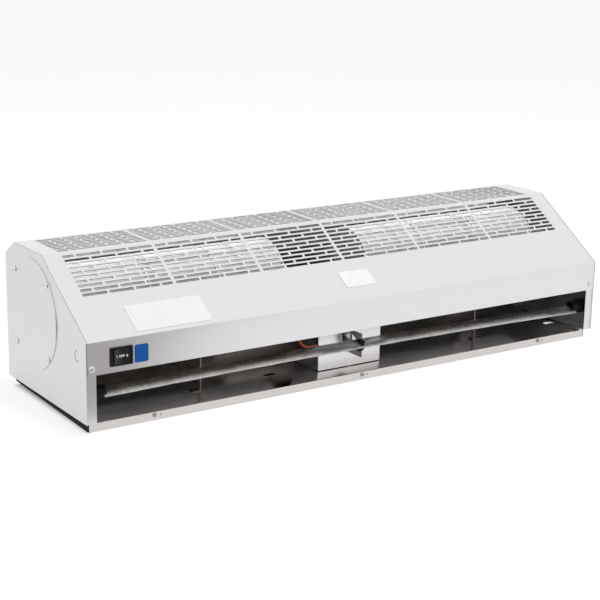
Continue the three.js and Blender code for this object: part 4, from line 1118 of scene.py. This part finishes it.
def rocker():
    """Face, round end, back and round end as one loop, drawn in slightly at the upper and lower end."""
    x = np.linspace(-ROCKER_EDGE, ROCKER_EDGE, 41)
    face = np.stack([x, rocker_face(x)], -1)
    spread = np.arcsin(ROCKER_HALF / ROCKER_R)
    turn = np.linspace(-spread, spread, 12)[1:-1]
    right = np.stack([ROCKER_R * np.cos(turn), ROCKER_PIVOT + ROCKER_R * np.sin(turn)], -1)
    back = np.array([[ROCKER_EDGE, ROCKER_PIVOT + ROCKER_HALF], [-ROCKER_EDGE, ROCKER_PIVOT + ROCKER_HALF]])
    left = right[::-1] * [-1, 1]
    loop = np.concatenate([face, right, back, left])
    middle = np.array([0, ROCKER_PIVOT])
    levels = [(-1, 0.96), (-0.975, 0.985), (-0.94, 1), (0.94, 1), (0.975, 0.985), (1, 0.96)]
    rows = []
    for height, size in levels:
        x, y = (middle + (loop - middle) * size).T
        z = np.full(len(loop), SWITCH_Z + height * ROCKER_H / 2)
        rows.append(np.stack([SWITCH_X + x, y, z], -1))
    return stacked(rows)


skin("switch_rocker", rocker(), ROCKER_BLACK, "rocker_black", "power_rocker")


def made_solid(curve):
    """Points and faces of a text or a curve, once it has its thickness."""
    source = bpy.data.objects.new(curve.name + "_source", curve)
    bpy.context.scene.collection.objects.link(source)
    mesh = bpy.data.meshes.new_from_object(source.evaluated_get(bpy.context.evaluated_depsgraph_get()))
    points = np.array([v.co for v in mesh.vertices])
    faces = [list(face.vertices) for face in mesh.polygons]
    bpy.data.objects.remove(source)
    return points, faces


def mark(name, text, x):
    """Letters on the rocker: flat text, made a mesh and laid on the face's curve."""
    curve = bpy.data.curves.new(name, "FONT")
    curve.body = text
    curve.size = MARK_SIZE
    curve.align_x, curve.align_y = "CENTER", "CENTER"
    curve.extrude = MARK_HEIGHT
    curve.offset = MARK_WEIGHT
    curve.resolution_u = 3
    points, faces = made_solid(curve)
    across, up, out = points.T
    depth = rocker_face(x + across) - MARK_GAP - out
    placed = np.stack([SWITCH_X + (x + across), depth, SWITCH_Z + up], -1)
    piece(name, (placed, faces), MARK_WHITE, "label_white", "power_rocker")


for name, text, x in (("mark_on_one", "I", -7.4), ("mark_off", "OFF", -0.2), ("mark_on_two", "II", 7.4)):
    mark(name, text, x)

# %% [markdown]
# ## Labels and leads
# Three labels are stuck on the casing. They carry no print here: two are white film and one is blue,
# with rounded corners. The leads are round cords along the routes that the solids take, smoothed by
# a Catmull-Rom spline and given a round section by the curve's own bevel.

# %% Labels
SLOPE_ANGLE = np.arctan2(CASING_TOP - FASCIA_TOP, SLOPE_RUN)
FILM, FILM_GAP = 0.25, 0.08


def on_slope(u, v, w):
    """u along x, v up the slope from its lower fold, w out of it, less a hair's gap."""
    out = FILM_GAP + w
    return np.stack([
        u, v * np.cos(SLOPE_ANGLE) - out * np.sin(SLOPE_ANGLE),
        FASCIA_TOP + v * np.sin(SLOPE_ANGLE) + out * np.cos(SLOPE_ANGLE)], -1)


def on_fascia(u, v, w):
    """u along x, v up, w out of the fascia's plane."""
    return np.stack([u, -FILM_GAP - w, v], -1)


labels = (
    ("label_large", (78, 6), (195, 53), 2.0, on_slope, WHITE_FILM, "label_white"),
    ("label_small", (433, 25), (487, 56), 1.5, on_slope, WHITE_FILM, "label_white"),
    ("label_square", (71.5, 90.5), (92.2, 115.5), 2.6, on_fascia, BLUE_FILM, "label_blue"))
for node, first, last, radius, place, finish, slot in labels:
    skin(node, sheet(rounded_box(first, last, radius, 6), [], FILM, place), finish, slot)

# %% Leads
LEAD_REST = 85.85
FEED_ROUTE = [
    (134.3, 30, LEAD_REST + 4), (146.3, 30, LEAD_REST + 2), (174.3, 26, LEAD_REST),
    (229.3, 24, LEAD_REST), (300, 34, LEAD_REST), (336, 42, LEAD_REST + 1), (354, 46, LEAD_REST + 2),
    (360, 46, 78.45), (365, 47, 68.45), (374, 49, 57), (385, 50, 51.5), (400, 49, 53), (410, 53, 55),
    (424.9, 68, 48), (433.3, 68, 48)]
LEFT_ROUTE = [
    (439.9, 90, 66.1), (439.9, 90, 75.5), (427.9, 106, 89.5), (431.9, 114, 120), (433.9, 125.7, 124)]
RIGHT_ROUTE = [
    (449.9, 90, 66.1), (449.9, 90, 73.5), (450.2, 115, 81.5), (457.2, 117, 84.5), (465.2, 116, 88.5),
    (476.5, 116, 119), (480.5, 125.7, 124)]


def spline(points, steps=14):
    """Catmull-Rom through the points: a cubic in t on each stretch, worked out for all t at once."""
    p = np.asarray(points, float)
    p = np.concatenate([[2 * p[0] - p[1]], p, [2 * p[-1] - p[-2]]])
    t = np.linspace(0, 1, steps, endpoint=False)[None, :, None]
    a, b, c, d = (p[k:len(p) - 3 + k, None, :] for k in range(4))
    square, cube = 2 * a - 5 * b + 4 * c - d, 3 * b - a - 3 * c + d
    run = 0.5 * (2 * b + (c - a) * t + square * t ** 2 + cube * t ** 3)
    return np.concatenate([run.reshape(-1, 3), p[-2:-1]])


def lead(node, route, radius, finish, slot):
    """A round cord along a route, as a bevelled curve made into a mesh."""
    points = in_frame(spline(route))
    curve = bpy.data.curves.new(node, "CURVE")
    curve.dimensions = "3D"
    curve.bevel_depth = radius * MM
    curve.bevel_resolution = 3
    curve.use_fill_caps = True
    line = curve.splines.new("POLY")
    line.points.add(len(points) - 1)
    line.points.foreach_set("co", np.column_stack([points, np.ones(len(points))]).ravel())
    points, faces = made_solid(curve)
    skin(node, ((points - CORNER) / MM, faces), finish, slot)


lead("feed_lead", FEED_ROUTE, 1.6, ORANGE_PVC, "lead_orange")
lead("motor_lead_left", LEFT_ROUTE, 2.0, RED_PVC, "lead_red")
lead("motor_lead_right", RIGHT_ROUTE, 2.0, RED_PVC, "lead_red")

# %% [markdown]
# ## Finishes for the solids that stay
# Rails, posts, shafts, bearings and the flat plates inside already have the right shape, so they
# only get a finish.

# %% Finishes on solids
STAYING = {
    "motor_partition": PANEL_STEEL, "wall_rail_front": FRAME_ZINC, "wall_rail_back": FRAME_ZINC,
    "outlet_ceiling_left": GUIDE_ZINC, "outlet_ceiling_right": GUIDE_ZINC,
    # The outlet posts wear the painted-shade dark steel too.
    "outlet_post_left": SHADED_BRACKET_STEEL, "outlet_post_right": SHADED_BRACKET_STEEL,
    "bearing_holder_left": ROTOR_METAL, "bearing_holder_right": ROTOR_METAL,
    "bearing_left": BEARING_METAL, "bearing_right": BEARING_METAL,
    "end_shaft_left": SCREW_METAL, "end_shaft_right": SCREW_METAL,
    "motor_shaft_left": SCREW_METAL, "motor_shaft_right": SCREW_METAL}
for node, finish in STAYING.items():
    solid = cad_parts[node]
    solid.data.materials.clear()
    solid.data.materials.append(finish)
left_over = [n for n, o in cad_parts.items() if not o.hide_render and n not in STAYING]
print("solids without a finish:", left_over)

# %% [markdown]
# ## Floor, light and camera
# The unit stands on a white table. Camera and reflection rays see the table and the room as white,
# while two lamps and a softer room light give the plain surfaces their level. The lamps are hidden
# from reflection rays, so that the steel mirrors the white room and not two bright spots. In front
# of the unit's left end the table is darker and warmer in reflections, which gives the fascia its
# dark left end. Under the unit it doesn't glow, so that the outlets stay dark. The camera was
# worked out from where the unit's corners appear.

# %% Table
TABLE_HALF, TABLE_DROP = 8.0, 0.0003
TABLE = Finish("white_table", roughness=0.6, base_color=(0.93, 0.93, 0.93, 1))
spot = TABLE.node("TexCoord", "Object")
across, along = (TABLE.node("SeparateXYZ", axis, Vector=spot) for axis in "XY")


def inside(value, low, high, edge):
    """1 between low and high, 0 outside, with a soft edge that lies inside."""
    return TABLE.between(value, low, low + edge) * TABLE.between(value, high, high - edge)


under = inside(across, -0.46, 0.42, 0.02) * inside(along, -0.12, 0.13, 0.01)
dim = TABLE.between(across + 0.7 * along, -0.38, -0.56) * TABLE.between(along, -0.16, -0.22)
camera_ray, glossy_ray = (TABLE.node("LightPath", f"Is {kind} Ray") for kind in ("Camera", "Glossy"))
tint = TABLE.mix(dim * glossy_ray, (1, 1, 1), (1, 0.92, 0.87))
# Painted reflection: in reflections the table is 8 % darker everywhere, and far darker and warmer in the
# dim patch, than the white that the camera sees.
level = 1 - (0.08 + 0.64 * dim) * glossy_ray
glow_color = TABLE.node("VectorMath", "Vector", {"operation": "SCALE"}, Vector=tint, Scale=level)
glow = TABLE.node("Emission", "Emission", Color=glow_color)
plain = Socket(TABLE.tree, TABLE.shader.outputs[0])
glow_share = (0.88 * camera_ray + 0.9 * glossy_ray) * (1 - under)
surface = TABLE.node("MixShader", "Shader", Fac=glow_share, Shader=plain, Shader_001=glow)
TABLE.plug(TABLE.tree.nodes["Material Output"].inputs["Surface"], surface)
table_mesh = bpy.data.meshes.new("table")
table_corners = [(TABLE_HALF * x, TABLE_HALF * y, 0) for x, y in ((-1, -1), (1, -1), (1, 1), (-1, 1))]
table_mesh.from_pydata(table_corners, [], [(0, 1, 2, 3)])
table_mesh.transform(Matrix.Translation((0, 0, -TABLE_DROP)))
table_mesh.materials.append(TABLE.material)
table = bpy.data.objects.new("table", table_mesh)
bpy.context.scene.collection.objects.link(table)
print("table:", 2 * TABLE_HALF, "m wide")

# %% Room light and lamps
ROOM_LEVEL = 0.4
world = bpy.data.worlds.new("white_room")
world.use_nodes = True
bpy.context.scene.world = world
room = Nodes(world.node_tree)
in_view, in_steel, through_glass = (
    room.node("LightPath", f"Is {kind} Ray") for kind in ("Camera", "Glossy", "Transmission"))
light = room.tree.nodes["Background"]
room.plug(light.inputs["Color"], (1, 1, 1, 1))
room.plug(light.inputs["Strength"], ROOM_LEVEL + (1 - ROOM_LEVEL) * (in_view + in_steel + through_glass))


def softbox(name, place, aim, size, power):
    """A square lamp at a place, turned to its aim."""
    lamp = bpy.data.lights.new(name, "AREA")
    lamp.shape = "SQUARE"
    lamp.size = size
    lamp.energy = power
    made = bpy.data.objects.new(name, lamp)
    made.location = place
    made.rotation_mode = "QUATERNION"
    made.rotation_quaternion = (Vector(aim) - Vector(place)).to_track_quat("-Z", "Y")
    made.visible_glossy = False
    bpy.context.scene.collection.objects.link(made)
    print(f"{name} lamp: {power} W")


softbox("key", (0.2, -0.5, 2.8), (0, 0, 0.1), 0.8, 115)
softbox("back", (0.5, 1.2, 2.4), (0, 0, 0.1), 0.9, 20)

# %% Camera
EYE = Vector((-1.2776, -1.8435, 0.7028))
AZIMUTH, ELEVATION, ROLL = np.radians([-33.952, 15.165, 1.072])
FOCAL_PIXELS, WIDTH_PIXELS, SENSOR = 1509.9, 600, 36.0
back = Vector((
    np.sin(AZIMUTH) * np.cos(ELEVATION), -np.cos(AZIMUTH) * np.cos(ELEVATION), np.sin(ELEVATION)))
right = (-back).cross(Vector((0, 0, 1))).normalized()
up = right.cross(-back)
right, up = np.cos(ROLL) * right + np.sin(ROLL) * up, np.cos(ROLL) * up - np.sin(ROLL) * right
camera = bpy.data.objects.new("camera", bpy.data.cameras.new("camera"))
camera.data.sensor_width = SENSOR
camera.data.lens = FOCAL_PIXELS / WIDTH_PIXELS * SENSOR
camera.data.clip_start, camera.data.clip_end = 0.05, 50
camera.matrix_world = Matrix((right, up, back)).transposed().to_4x4()
camera.location = EYE
bpy.context.scene.collection.objects.link(camera)
bpy.context.scene.camera = camera
bpy.context.scene.view_settings.view_transform = "Standard"
print("camera lens:", round(camera.data.lens, 1), "mm")
